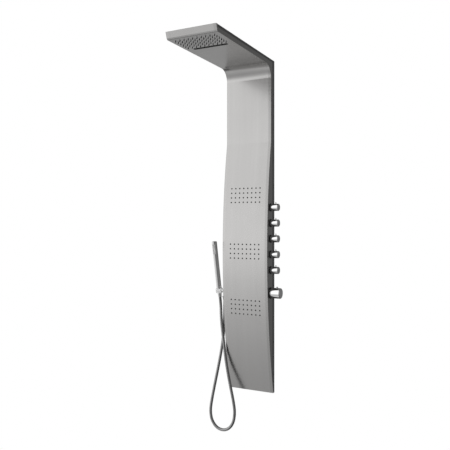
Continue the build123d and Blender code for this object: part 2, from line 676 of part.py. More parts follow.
def valve_manifold():
    """Brass body: the mixer block below and the bar with five valve seats above."""
    d0 = KNOB_DEPTH - MANIFOLD_SIZE / 2
    d1 = KNOB_DEPTH + MANIFOLD_SIZE / 2
    top = at(mixer_mid_x, KNOB_DEPTH, manifold_high)
    spigot_top = top + Vector(0, 0, SPIGOT_LENGTH)
    body = block(valve_back, valve_face, d0, d1, mixer_low, manifold_high)
    body += block(valve_face - MIXER_WIDTH, valve_face, INLET_DEPTH - MIXER_BACK,
                  d1 + MIXER_EXTRA, mixer_low, mixer_low + MIXER_HEIGHT)
    spigots = [rod(top - Vector(0, 0, OVER), spigot_top, SPIGOT_R)]
    bores = [rod(at(mixer_mid_x, KNOB_DEPTH, TEMP_HEIGHT), top - Vector(0, 0, PLUG_THREAD), WATERWAY_R),
             rod(top - Vector(0, 0, PLUG_THREAD + OVER), spigot_top, PIPE_R - PIPE_WALL),
             rod(spigot_top - Vector(0, 0, PIPE_SOCKET), spigot_top, PIPE_R),
             rod(at(valve_face - TEMP_CARTRIDGE_DEEP, KNOB_DEPTH, TEMP_HEIGHT),
                 at(valve_face + OVER, KNOB_DEPTH, TEMP_HEIGHT), TEMP_CARTRIDGE_R),
             rod(at(min(inlet_places()), INLET_DEPTH, TEMP_HEIGHT),
                 at(mixer_mid_x, INLET_DEPTH, TEMP_HEIGHT), PIPE_R)]
    for name, up in KNOB_HEIGHTS.items():
        seat = at(valve_face - CARTRIDGE_DEEP, KNOB_DEPTH, up)
        bores.append(rod(seat, at(valve_face + OVER, KNOB_DEPTH, up), CARTRIDGE_R))
        if name in port_depth:
            d = port_depth[name]
            outer = at(valve_back - SPIGOT_LENGTH, d, up)
            spigots.append(rod(at(valve_back + OVER, d, up), outer, SPIGOT_R))
            bores.append(rod(at(mixer_mid_x - WATERWAY_R / 2, d, up), outer, PIPE_R - PIPE_WALL))
            bores.append(rod(at(valve_back - SPIGOT_LENGTH + PIPE_SOCKET, d, up), outer, PIPE_R))
    for x in inlet_places():
        start = at(x, INLET_DEPTH, mixer_low)
        bores.append(rod(start, at(x, INLET_DEPTH, TEMP_HEIGHT), INLET_BORE_R))
        bores.append(rod(start, at(x, INLET_DEPTH, mixer_low + INLET_STEM), INLET_STEM_R))
    body += spigots
    for bore in bores:
        body -= bore
    return body


def inlet_places():
    """The x of the cold and hot inlets under the mixer block."""
    hot = valve_face - INLET_FROM_FACE
    return (hot - INLET_SPACING, hot)


def inlet_tails():
    """Hot and cold threaded tails that the supply hoses screw onto."""
    tails = []
    hexagon = RegularPolygon(INLET_HEX / 2, 6, major_radius=False)
    for x in inlet_places():
        shoulder = at(x, INLET_DEPTH, mixer_low - INLET_HEX_LENGTH)
        low = shoulder - Vector(0, 0, INLET_LENGTH)
        high = at(x, INLET_DEPTH, mixer_low + INLET_STEM)
        tail = extrude(Plane(shoulder) * hexagon, INLET_HEX_LENGTH)
        tail += rod(at(x, INLET_DEPTH, mixer_low - OVER), high, INLET_STEM_R)
        tail += rod(low, shoulder, INLET_R)
        tails.append(tail - rod(low, high, INLET_BORE_R))
    return group(tails)


def cartridge(up, radius, deep, neck_r, spindle_r):
    """A valve cartridge: body in the manifold, neck out through the side plate."""
    neck_end = at(SIDE + RING_THICK, KNOB_DEPTH, up)
    body = rod(at(valve_face - deep, KNOB_DEPTH, up),
               at(valve_face + CARTRIDGE_OUT, KNOB_DEPTH, up), radius)
    body += rod(at(valve_face, KNOB_DEPTH, up), neck_end, neck_r)
    floor = at(valve_face + CARTRIDGE_FLOOR, KNOB_DEPTH, up)
    return body - rod(floor, neck_end, spindle_r + SPINDLE_CLEARANCE)


def cartridge_nut(up, bore_r, wall):
    """Hexagon nut that clamps a cartridge on the manifold."""
    start = Plane(origin=at(valve_face, KNOB_DEPTH, up), z_dir=(1, 0, 0))
    face = start * RegularPolygon(bore_r + wall, 6)
    nut = extrude(face, CARTRIDGE_NUT_LENGTH)
    return nut - rod(at(valve_face, KNOB_DEPTH, up), at(SIDE, KNOB_DEPTH, up), bore_r)


def ring(up, radius, bore_r):
    """Polished ring on the side plate round a knob's neck."""
    disc = rod(at(SIDE, KNOB_DEPTH, up), at(SIDE + RING_THICK, KNOB_DEPTH, up), radius)
    disc = fillet(disc.edges().filter_by(GeomType.CIRCLE).sort_by(Axis.X)[-1], RING_EDGE_R)
    return disc - rod(at(SIDE, KNOB_DEPTH, up), at(SIDE + RING_THICK, KNOB_DEPTH, up), bore_r)


def spindle(up, radius):
    """Turning stem from the cartridge into the knob."""
    start = at(valve_face + CARTRIDGE_FLOOR + SPINDLE_END_GAP, KNOB_DEPTH, up)
    return rod(start, at(knob_base + SPINDLE_IN_KNOB, KNOB_DEPTH, up), radius)


def knob(up, radius, length, spindle_r):
    """Round knob with a soft outer edge and a blind bore for its spindle."""
    body = rod(at(knob_base, KNOB_DEPTH, up), at(knob_base + length, KNOB_DEPTH, up), radius)
    rims = body.edges().filter_by(GeomType.CIRCLE).sort_by(Axis.X)
    body = fillet(rims[-1], KNOB_END_R)
    body = fillet(body.edges().filter_by(GeomType.CIRCLE).sort_by(Axis.X)[0], KNOB_BASE_R)
    bore_end = at(knob_base + SPINDLE_IN_KNOB + SPINDLE_END_GAP, KNOB_DEPTH, up)
    return body - rod(at(knob_base, KNOB_DEPTH, up), bore_end, spindle_r + SPINDLE_CLEARANCE)


def knob_pin(up):
    """Small grip pin that stands on top of a knob."""
    x = knob_base + PIN_FROM_BASE
    low = at(x, KNOB_DEPTH, up + KNOB_R - PIN_DEEP)
    pin = rod(low, at(x, KNOB_DEPTH, up + KNOB_R + PIN_RISE), PIN_R)
    return fillet(pin.edges().filter_by(GeomType.CIRCLE).sort_by(Axis.Z)[-1], PIN_END_R)


def pin_bore(up):
    """The hole that the grip pin stands in, cut through the knob's top."""
    x = knob_base + PIN_FROM_BASE
    low = at(x, KNOB_DEPTH, up + KNOB_R - PIN_DEEP)
    return rod(low, at(x, KNOB_DEPTH, up + KNOB_R + OVER), PIN_R)


def temperature_knob():
    """Large knob, stepped for its scale ring and bored for the safety button."""
    up = TEMP_HEIGHT
    body = knob(up, TEMP_KNOB_R, TEMP_KNOB_LENGTH, TEMP_SPINDLE_R)
    start = at(knob_base - OVER, KNOB_DEPTH, up)
    end = at(knob_base + SCALE_LENGTH, KNOB_DEPTH, up)
    body -= rod(start, end, TEMP_KNOB_R + OVER) - rod(start, end, TEMP_KNOB_R - SCALE_THICK)
    x = knob_base + BUTTON_FROM_BASE
    bore_top = at(x, KNOB_DEPTH, up + TEMP_KNOB_R + OVER)
    return body - rod(at(x, KNOB_DEPTH, button_floor()), bore_top, BUTTON_R + BUTTON_CLEARANCE)


def button_floor():
    """Bottom of the safety button's bore."""
    return TEMP_HEIGHT + TEMP_KNOB_R - BUTTON_IN - SPRING_HEIGHT - FIT


def scale_ring():
    """Ring round the inner end of the temperature knob."""
    start = at(knob_base, KNOB_DEPTH, TEMP_HEIGHT)
    end = at(knob_base + SCALE_LENGTH, KNOB_DEPTH, TEMP_HEIGHT)
    return rod(start, end, TEMP_KNOB_R) - rod(start, end, TEMP_KNOB_R - SCALE_THICK)


def safety_button():
    """Button in the top of the temperature knob that frees its hot stop."""
    x = knob_base + BUTTON_FROM_BASE
    low = at(x, KNOB_DEPTH, TEMP_HEIGHT + TEMP_KNOB_R - BUTTON_IN)
    button = rod(low, at(x, KNOB_DEPTH, TEMP_HEIGHT + TEMP_KNOB_R + BUTTON_RISE), BUTTON_R)
    return fillet(button.edges().filter_by(GeomType.CIRCLE).sort_by(Axis.Z)[-1], BUTTON_END_R)


def safety_button_spring():
    """Coil spring under the button."""
    x = knob_base + BUTTON_FROM_BASE
    low = button_floor() + SPRING_WIRE_R
    coil = Helix(pitch=SPRING_PITCH, height=SPRING_HEIGHT - 2 * SPRING_WIRE_R, radius=SPRING_R)
    section = Plane(origin=coil @ 0, z_dir=coil % 0) * Circle(SPRING_WIRE_R)
    return Pos(at(x, KNOB_DEPTH, low)) * sweep(section, path=coil, is_frenet=True)


# ---------------------------------------------------------------- hand shower
holder_x = -(SIDE + HOLDER_OUT)
elbow_x = -(SIDE + ELBOW_OUT)
tilt = math.radians(WAND_TILT)
wand_axis = Vector(0, -math.sin(tilt), math.cos(tilt))
holder_middle = at(holder_x, HOLDER_DEPTH, HOLDER_HEIGHT)


def along(s):
    """The point s up the wand's axis from the middle of the holder."""
    return holder_middle + wand_axis * s


def tail_radius(s):
    """Radius of the wand's conical tail at s."""
    share = (s + TAIL_HALF) / (2 * TAIL_HALF)
    return WAND_TAIL_R + (WAND_R - WAND_TAIL_R) * share


def handset_holder():
    """Ring and stem that carry the wand, fixed to the left side plate."""
    half = HOLDER_LENGTH / 2
    body = rod(along(-half), along(half), HOLDER_R)
    body = fillet(body.edges().filter_by(GeomType.CIRCLE), HOLDER_EDGE_R)
    stem_start = at(holder_x + HOLDER_R - HOLDER_STEM_IN_RING, HOLDER_DEPTH, HOLDER_HEIGHT)
    stem_end = at(-SIDE + HOLDER_STEM_INSIDE, HOLDER_DEPTH, HOLDER_HEIGHT)
    body += rod(stem_start, stem_end, HOLDER_STEM_R)
    body += rod(at(-SIDE - HOLDER_FOOT, HOLDER_DEPTH, HOLDER_HEIGHT),
                at(-SIDE, HOLDER_DEPTH, HOLDER_HEIGHT), HOLDER_FOOT_R)
    reach = TAIL_HALF
    return body - rod(along(-reach), along(reach), tail_radius(-reach) + HOLDER_GAP,
                      tail_radius(reach) + HOLDER_GAP)


def holder_nut():
    """Nut inside the column that clamps the holder's stem."""
    start = at(-INNER, HOLDER_DEPTH, HOLDER_HEIGHT)
    face = Plane(origin=start, z_dir=(1, 0, 0)) * RegularPolygon(HOLDER_NUT_R, 6)
    nut = extrude(face, HOLDER_NUT_THICK)
    return nut - rod(start, start + Vector(HOLDER_NUT_THICK + OVER, 0, 0), HOLDER_STEM_R)


def outlet_elbow():
    """Water outlet: a stub through the left side plate that turns down."""
    top = at(elbow_x, ELBOW_DEPTH, ELBOW_HEIGHT)
    inner = at(-INNER + ELBOW_STUB, ELBOW_DEPTH, ELBOW_HEIGHT)
    low = at(elbow_x, ELBOW_DEPTH, ELBOW_HEIGHT - ELBOW_DROP)
    body = rod(top, inner, ELBOW_R) + rod(top, low, ELBOW_R)
    body += Pos(top) * Sphere(ELBOW_R)
    body += rod(at(-SIDE - ELBOW_FOOT, ELBOW_DEPTH, ELBOW_HEIGHT),
                at(-SIDE, ELBOW_DEPTH, ELBOW_HEIGHT), ELBOW_FOOT_R)
    thread_end = low - Vector(0, 0, THREAD_LENGTH)
    body += rod(low, thread_end, THREAD_R)
    body -= rod(top, thread_end, ELBOW_BORE_R)
    body -= rod(top, inner, ELBOW_BORE_R)
    return body - rod(inner - Vector(PIPE_SOCKET, 0, 0), inner, PIPE_R)


def outlet_hose_nut():
    """Nut that joins the hose to the outlet."""
    top = at(elbow_x, ELBOW_DEPTH, ELBOW_HEIGHT - ELBOW_DROP)
    low = top - Vector(0, 0, OUTLET_NUT_LENGTH)
    nut = rod(low, top, HOSE_R + OUTLET_NUT_LIP, OUTLET_NUT_R)
    nut -= rod(top - Vector(0, 0, THREAD_LENGTH), top, THREAD_R)
    return nut - rod(low, top, ELBOW_BORE_R)


def handset_hose_nut():
    """Conical nut between the hose and the wand's tail."""
    start = along(-TAIL_HALF)
    end = along(-TAIL_HALF - HOSE_NUT_LENGTH)
    nut = rod(start, end, WAND_TAIL_R, HOSE_NUT_END_R)
    return nut - rod(start, end, ELBOW_BORE_R)


def wand_tail():
    """Conical lower end of the wand, which sits in the holder."""
    low, middle, high = along(-TAIL_HALF), along(TAIL_HALF), along(TAIL_HALF + TAIL_PLUG)
    tail = rod(low, middle, WAND_TAIL_R, WAND_R) + rod(middle, high, WAND_R - WAND_WALL)
    return tail - rod(low, high, CORE_R - CORE_WALL)


face_top = WAND_TOP - FACE_FROM_END
face_low = face_top - FACE_LENGTH
face_out = Vector(0, -math.cos(tilt), -math.sin(tilt))


def face_window(grow):
    """The window in the wand's front that the spray face fills."""
    middle = along((face_top + face_low) / 2) + face_out * (WAND_R / 2 + FACE_BACK)
    window = Box(FACE_WIDTH + 2 * grow, WAND_R, FACE_LENGTH + 2 * grow)
    window = fillet(window.edges().filter_by(Axis.Y), FACE_CORNER_R)
    return Plane(origin=middle, x_dir=(1, 0, 0), z_dir=wand_axis) * window


def wand_body():
    """Round barrel of the wand."""
    low, high = along(TAIL_HALF), along(WAND_TOP - END_CAP)
    return rod(low, high, WAND_R) - rod(low, high, WAND_R - WAND_WALL) - face_window(0)


def wand_spray_face():
    """Soft spray face in the wand's window, with its nozzles."""
    low, high = along(face_low), along(face_top)
    shell = rod(low, high, WAND_R) - rod(low, high, WAND_R - FACE_THICK)
    face = shell & face_window(-NOZZLE_GAP)
    nozzles = []
    for s in across(FACE_NOZZLES, FACE_NOZZLE_PITCH):
        for x in across(2, FACE_ROW_PITCH):
            centre = along((face_top + face_low) / 2 + s) + Vector(x, 0, 0)
            base = centre + face_out * (WAND_R - FACE_NOZZLE_DEEP)
            tip = centre + face_out * (WAND_R + FACE_NOZZLE_PROUD)
            nozzles.append(rod(base, tip, FACE_NOZZLE_BASE_R, FACE_NOZZLE_TIP_R))
    return face + nozzles


def wand_core():
    """Water tube inside the wand, from the tail to the end cap."""
    low, high = along(TAIL_HALF + TAIL_PLUG), along(WAND_TOP - END_CAP - END_PLUG)
    return rod(low, high, CORE_R) - rod(low, high, CORE_R - CORE_WALL)


def wand_end_cap():
    """Cap on the wand's upper end."""
    seat = along(WAND_TOP - END_CAP)
    cap = rod(seat, along(WAND_TOP), WAND_R)
    cap = fillet(cap.edges().filter_by(GeomType.CIRCLE).sort_by(Axis.Z)[-1], END_CAP_EDGE_R)
    return cap + rod(along(WAND_TOP - END_CAP - END_PLUG), seat, WAND_R - WAND_WALL)


# ---------------------------------------------------------------- hose
def hose_run(points, name):
    """A hose tube on straight runs joined by the largest arcs they allow."""
    bends = []
    for before, corner, after in zip(points, points[1:], points[2:]):
        shorter = min((corner - before).length, (after - corner).length)
        turn = math.radians((corner - before).get_angle(after - corner))
        bends.append(ARC_SHARE * shorter / math.tan(turn / 2))
    path = FilletPolyline(*points, radius=bends)
    tube = sweep(Plane(origin=path @ 0, z_dir=path % 0) * Circle(HOSE_R), path=path)
    volume_error = tube.volume / (math.pi * HOSE_R ** 2 * path.length) - 1
    print(name, "length", round(path.length, 1), "volume error", round(volume_error, 5))
    print(name, "bend radii", [round(bend) for bend in bends])
    return tube


def hose_points():
    """The whole route, outlet nut to handset nut."""
    start = at(elbow_x, ELBOW_DEPTH, ELBOW_HEIGHT - ELBOW_DROP - OUTLET_NUT_LENGTH)
    end_s = -TAIL_HALF - HOSE_NUT_LENGTH - HOSE_GAP
    first = start - Vector(0, 0, HOSE_LEAD_OUT)
    last = along(end_s - HOSE_LEAD_WAND)
    middle = [at(elbow_x + x, d, up) for x, d, up in HOSE_POINTS]
    return [start, first] + middle + [last, along(end_s)]


def hoses():
    """The hose's lower piece, round the loop, and its upper piece to the wand."""
    points = hose_points()
    before = HOSE_SPLIT + 2
    meeting = (points[before] + points[before + 1]) / 2
    lower = hose_run(points[:before + 1] + [meeting], "hose_lower")
    upper = hose_run([meeting] + points[before + 1:], "hose_upper")
    return lower, upper


# ---------------------------------------------------------------- pipe runs
def rain_pipe():
    """Pipe from the manifold's top to the rain chamber."""
    start_up = manifold_high + SPIGOT_LENGTH - PIPE_SOCKET
    end_d = rain_back - SPIGOT_LENGTH + PIPE_SOCKET
    shift_up = start_up + RAIN_PIPE_RISE
    points = [at(mixer_mid_x, KNOB_DEPTH, start_up), at(mixer_mid_x, KNOB_DEPTH, shift_up),
              at(rain_pipe_x, PIPE_DEPTH, shift_up + RAIN_PIPE_SHIFT),
              at(rain_pipe_x, PIPE_DEPTH, arm_pipe_up), at(rain_pipe_x, end_d, arm_pipe_up)]
    return pipe(points, PIPE_BEND_R, PIPE_R, PIPE_R - PIPE_WALL)


def waterfall_pipe():
    """Pipe from the second valve to the waterfall chamber."""
    up = KNOB_HEIGHTS["waterfall"]
    d = port_depth["waterfall"]
    start_x = valve_back - SPIGOT_LENGTH + PIPE_SOCKET
    end_d = fall_back - SPIGOT_LENGTH + PIPE_SOCKET
    points = [at(start_x, d, up), at(fall_pipe_x, d, up), at(fall_pipe_x, d, arm_pipe_up),
              at(fall_pipe_x, end_d, arm_pipe_up)]
    return pipe(points, PIPE_BEND_R, PIPE_R, PIPE_R - PIPE_WALL)


def upper_jet_pipe():
    """Pipe from the third valve up to the upper jet chamber."""
    up = KNOB_HEIGHTS["upper_jets"]
    d = port_depth["upper_jets"]
    start_x = valve_back - SPIGOT_LENGTH + PIPE_SOCKET
    depth = jet_pipe_depth(0)
    end_up = JET_GROUPS[0] - jet_half_z - SPIGOT_LENGTH + PIPE_SOCKET
    points = [at(start_x, d, up), at(JET_PIPE_X, d, up), at(JET_PIPE_X, depth, up + JET_PIPE_SHIFT),
              at(JET_PIPE_X, depth, end_up)]
    return pipe(points, PIPE_BEND_R, PIPE_R, PIPE_R - PIPE_WALL)


def middle_jet_pipe():
    """Pipe from the fourth valve to the back of the middle jet chamber."""
    up = KNOB_HEIGHTS["lower_jets"]
    d = port_depth["lower_jets"]
    start_x = valve_back - SPIGOT_LENGTH + PIPE_SOCKET
    back = bow_depth(up, chamber_inset + JET_CHAMBER_DEPTH)
    end_d = back - SPIGOT_LENGTH + PIPE_SOCKET
    points = [at(start_x, d, up), at(MIDDLE_FEED_X, d, up), at(MIDDLE_FEED_X, end_d, up)]
    bend = min(PIPE_BEND_R, end_d - d - PIPE_SOCKET - FIT)
    return pipe(points, bend, PIPE_R, PIPE_R - PIPE_WALL)


def lower_jet_pipe():
    """Pipe that links the middle jet chamber to the lower one."""
    from_middle = jet_half_z + SPIGOT_LENGTH - PIPE_SOCKET
    top = at(JET_PIPE_X, jet_pipe_depth(1), JET_GROUPS[1] - from_middle)
    low = at(JET_PIPE_X, jet_pipe_depth(2), JET_GROUPS[2] + from_middle)
    lead = Vector(0, 0, LINK_PIPE_LEAD)
    return pipe([top, top - lead, low + lead, low], PIPE_BEND_R, PIPE_R, PIPE_R - PIPE_WALL)


def hand_shower_pipe():
    """Pipe from the fifth valve across to the hose outlet."""
    up = KNOB_HEIGHTS["hand_shower"]
    start_x = valve_back - SPIGOT_LENGTH + PIPE_SOCKET
    end_x = -INNER + ELBOW_STUB - PIPE_SOCKET
    turn_x = -INNER + HAND_PIPE_FROM_SIDE
    points = [at(start_x, ELBOW_DEPTH, up), at(turn_x, ELBOW_DEPTH, up),
              at(turn_x, ELBOW_DEPTH, ELBOW_HEIGHT), at(end_x, ELBOW_DEPTH, ELBOW_HEIGHT)]
    bend = min(PIPE_BEND_R, turn_x - end_x - PIPE_SOCKET - FIT)
    return pipe(points, bend, PIPE_R, PIPE_R - PIPE_WALL)


# ---------------------------------------------------------------- build
os.makedirs("parts", exist_ok=True)

write("front_sheet", front_sheet())
write("left_side_plate", side_plate(-1))
write("right_side_plate", side_plate(1))
write("arm_top_cover", arm_top_cover())
write("cover_tabs", cover_tabs())
write("top_cover_screws", top_cover_screws())
write("foot_closure", foot_closure())
write("wall_brackets", wall_brackets())
write("hanger_rails", hanger_rails())

write("rain_nozzle_mat", rain_nozzle_mat())
write("rain_chamber", rain_chamber())
write("waterfall_chamber", waterfall_chamber())
write("waterfall_lip", waterfall_lip())
write("jet_nozzle_mats", jet_nozzle_mats())
write("jet_chambers", jet_chambers())

write("rain_pipe", rain_pipe())
write("waterfall_pipe", waterfall_pipe())
write("upper_jet_pipe", upper_jet_pipe())
write("middle_jet_pipe", middle_jet_pipe())
write("lower_jet_pipe", lower_jet_pipe())
write("hand_shower_pipe", hand_shower_pipe())

write("valve_manifold", valve_manifold())
write("inlet_tails", inlet_tails())
write("shutoff_cartridges", group([cartridge(up, CARTRIDGE_R, CARTRIDGE_DEEP, NECK_R, SPINDLE_R)
                                   for up in KNOB_HEIGHTS.values()]))
nuts = [cartridge_nut(up, CARTRIDGE_R, CARTRIDGE_NUT_WALL) for up in KNOB_HEIGHTS.values()]
nuts.append(cartridge_nut(TEMP_HEIGHT, TEMP_CARTRIDGE_R, TEMP_NUT_WALL))
write("cartridge_nuts", group(nuts))
write("knob_rings", group([ring(up, RING_R, NECK_R) for up in KNOB_HEIGHTS.values()]))
for name, up in KNOB_HEIGHTS.items():
    write(name + "_spindle", spindle(up, SPINDLE_R))
    write(name + "_knob", knob(up, KNOB_R, KNOB_LENGTH, SPINDLE_R) - pin_bore(up))
    write(name + "_knob_pin", knob_pin(up))

write("thermostatic_cartridge", cartridge(TEMP_HEIGHT, TEMP_CARTRIDGE_R, TEMP_CARTRIDGE_DEEP,
                                          TEMP_NECK_R, TEMP_SPINDLE_R))
write("temperature_ring", ring(TEMP_HEIGHT, TEMP_RING_R, TEMP_NECK_R))
write("temperature_spindle", spindle(TEMP_HEIGHT, TEMP_SPINDLE_R))
write("temperature_knob", temperature_knob())
write("temperature_scale_ring", scale_ring())
write("safety_button", safety_button())
write("safety_button_spring", safety_button_spring())

write("handset_holder", handset_holder())
write("holder_nut", holder_nut())
write("outlet_elbow", outlet_elbow())
write("outlet_hose_nut", outlet_hose_nut())
lower_hose, upper_hose = hoses()
write("hose_lower", lower_hose)
write("hose_upper", upper_hose)
write("handset_hose_nut", handset_hose_nut())
write("wand_tail", wand_tail())
write("wand_body", wand_body())
write("wand_spray_face", wand_spray_face())
write("wand_core", wand_core())
write("wand_end_cap", wand_end_cap())
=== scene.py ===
"""A wall-hung rainfall shower column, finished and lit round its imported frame.

Lengths are in metres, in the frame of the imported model: +X to the user's right,
-Y out of the wall towards the user and +Z up, with the origin on the wall. Sizes
on the column are laid out as x, "d", the distance out from the wall, and "up",
the height above the column's foot.
"""

from __future__ import annotations

import json
import logging
import math
from dataclasses import dataclass, field
from enum import Enum, StrEnum
from typing import Callable, Iterable, Sequence

import bmesh
import bpy
from mathutils import Matrix, Vector

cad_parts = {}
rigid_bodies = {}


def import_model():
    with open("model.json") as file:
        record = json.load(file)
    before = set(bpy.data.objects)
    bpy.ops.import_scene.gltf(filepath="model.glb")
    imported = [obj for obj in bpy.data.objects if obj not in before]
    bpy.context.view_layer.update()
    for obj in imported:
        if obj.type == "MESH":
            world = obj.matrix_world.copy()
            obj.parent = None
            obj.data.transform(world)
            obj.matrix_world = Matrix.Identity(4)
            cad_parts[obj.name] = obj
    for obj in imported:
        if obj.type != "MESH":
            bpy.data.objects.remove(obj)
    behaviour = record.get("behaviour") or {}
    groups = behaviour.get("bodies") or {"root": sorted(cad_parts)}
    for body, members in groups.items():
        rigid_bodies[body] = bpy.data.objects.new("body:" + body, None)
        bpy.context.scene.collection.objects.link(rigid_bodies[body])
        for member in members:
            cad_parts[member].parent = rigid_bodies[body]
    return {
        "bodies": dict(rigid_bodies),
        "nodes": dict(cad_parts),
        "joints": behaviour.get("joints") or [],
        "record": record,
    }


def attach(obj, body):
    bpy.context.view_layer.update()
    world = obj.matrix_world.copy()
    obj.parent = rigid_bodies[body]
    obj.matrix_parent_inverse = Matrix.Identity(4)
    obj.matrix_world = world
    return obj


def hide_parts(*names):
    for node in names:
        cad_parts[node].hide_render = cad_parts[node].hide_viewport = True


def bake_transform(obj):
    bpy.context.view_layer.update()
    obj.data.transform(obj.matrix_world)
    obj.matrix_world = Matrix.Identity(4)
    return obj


log = logging.getLogger("shower_column")

MM = 0.001
FOOT_BELOW_ORIGIN = 0.800
FLOW_KNOBS = (("rain", 0.837), ("waterfall", 0.767), ("upper_jets", 0.697),
              ("lower_jets", 0.627), ("hand_shower", 0.557))
Colour = tuple[float, float, float]
Profile = Sequence[tuple[float, float]]
Inputs = dict[int | str, object]
DOWN = Vector((0.0, 0.0, -1.0))
TO_RIGHT = Vector((1.0, 0.0, 0.0))


def at(x: float, d: float, up: float) -> Vector:
    """Give the frame's point at a place on the column.

    Args:
        x: Distance to the user's right of the middle, in metres.
        d: Distance out from the wall.
        up: Height above the column's foot.

    Returns:
        The point in the frame.
    """
    return Vector((x, -d, up - FOOT_BELOW_ORIGIN))


def in_mm(*corners: tuple[float, float]) -> Profile:
    """Give a profile in metres from its corners in millimetres."""
    return tuple((radius * MM, height * MM) for radius, height in corners)


def spread(count: int, pitch: float) -> list[float]:
    """Give evenly spaced places, centred on zero.

    Args:
        count: How many places.
        pitch: Distance from one to the next.

    Returns:
        The places, lowest first.
    """
    return [(place - (count - 1) / 2) * pitch for place in range(count)]


class Body(StrEnum):
    """The bodies that pieces ride on."""

    COLUMN = "column"
    TEMPERATURE = "temperature_control"
    STOP = "stop_button"
    HANDSET = "handset"


class Grain(Enum):
    """The way in which a brushed or turned pattern changes over a surface."""

    ACROSS_X = (1.0, 0.0, 0.0)
    ACROSS_Y = (0.0, 1.0, 0.0)
    ALONG_Z = (0.0, 0.0, 1.0)


# ---------------------------------------------------------------- shader groups
class NodeSheet:
    """A node tree with short ways to add and feed nodes."""

    def __init__(self, tree: bpy.types.NodeTree) -> None:
        """Wrap a node tree.

        Args:
            tree: The tree to add nodes to.
        """
        self.tree = tree

    def add(self, kind: str, inputs: Inputs | None = None, **settings: object) -> bpy.types.Node:
        """Add a node, set its properties and feed its inputs.

        Args:
            kind: The node's type name.
            inputs: A value, or another node's output, for each input named.
            settings: Properties to set on it.

        Returns:
            The new node.
        """
        node = self.tree.nodes.new(kind)
        for name, value in settings.items():
            setattr(node, name, value)
        self.feed(node, inputs or {})
        return node

    def feed(self, node: bpy.types.Node, inputs: Inputs) -> None:
        """Set a node's inputs, or link them to outputs.

        Args:
            node: The node.
            inputs: A value, or another node's output, for each input named.
        """
        for key, value in inputs.items():
            if isinstance(value, bpy.types.NodeSocket):
                self.tree.links.new(value, node.inputs[key])
            else:
                node.inputs[key].default_value = value

    def maths(self, operation: str, *terms: object) -> bpy.types.NodeSocket:
        """Work something out from numbers or outputs.

        Args:
            operation: What to do with them.
            terms: The numbers or outputs, in order.

        Returns:
            The result.
        """
        return self.add("ShaderNodeMath", dict(enumerate(terms)), operation=operation).outputs[0]

    def scaled(self, value: bpy.types.NodeSocket, low: float, high: float) -> bpy.types.NodeSocket:
        """Map a mask from 0..1 to a range.

        Args:
            value: The mask.
            low: What 0 becomes.
            high: What 1 becomes.

        Returns:
            The mapped value.
        """
        inputs = {"Value": value, "To Min": low, "To Max": high}
        return self.add("ShaderNodeMapRange", inputs).outputs["Result"]

    def blended(self, mask: bpy.types.NodeSocket, first: Colour, second: Colour) -> bpy.types.NodeSocket:
        """Mix two colours by a mask.

        Args:
            mask: 0 for the first colour and 1 for the second.
            first: The first colour.
            second: The second colour.

        Returns:
            The mixed colour.
        """
        node = self.add("ShaderNodeValToRGB", {"Fac": mask})
        for element, colour in zip(node.color_ramp.elements, (first, second)):
            element.color = (*colour, 1.0)
        return node.outputs["Color"]


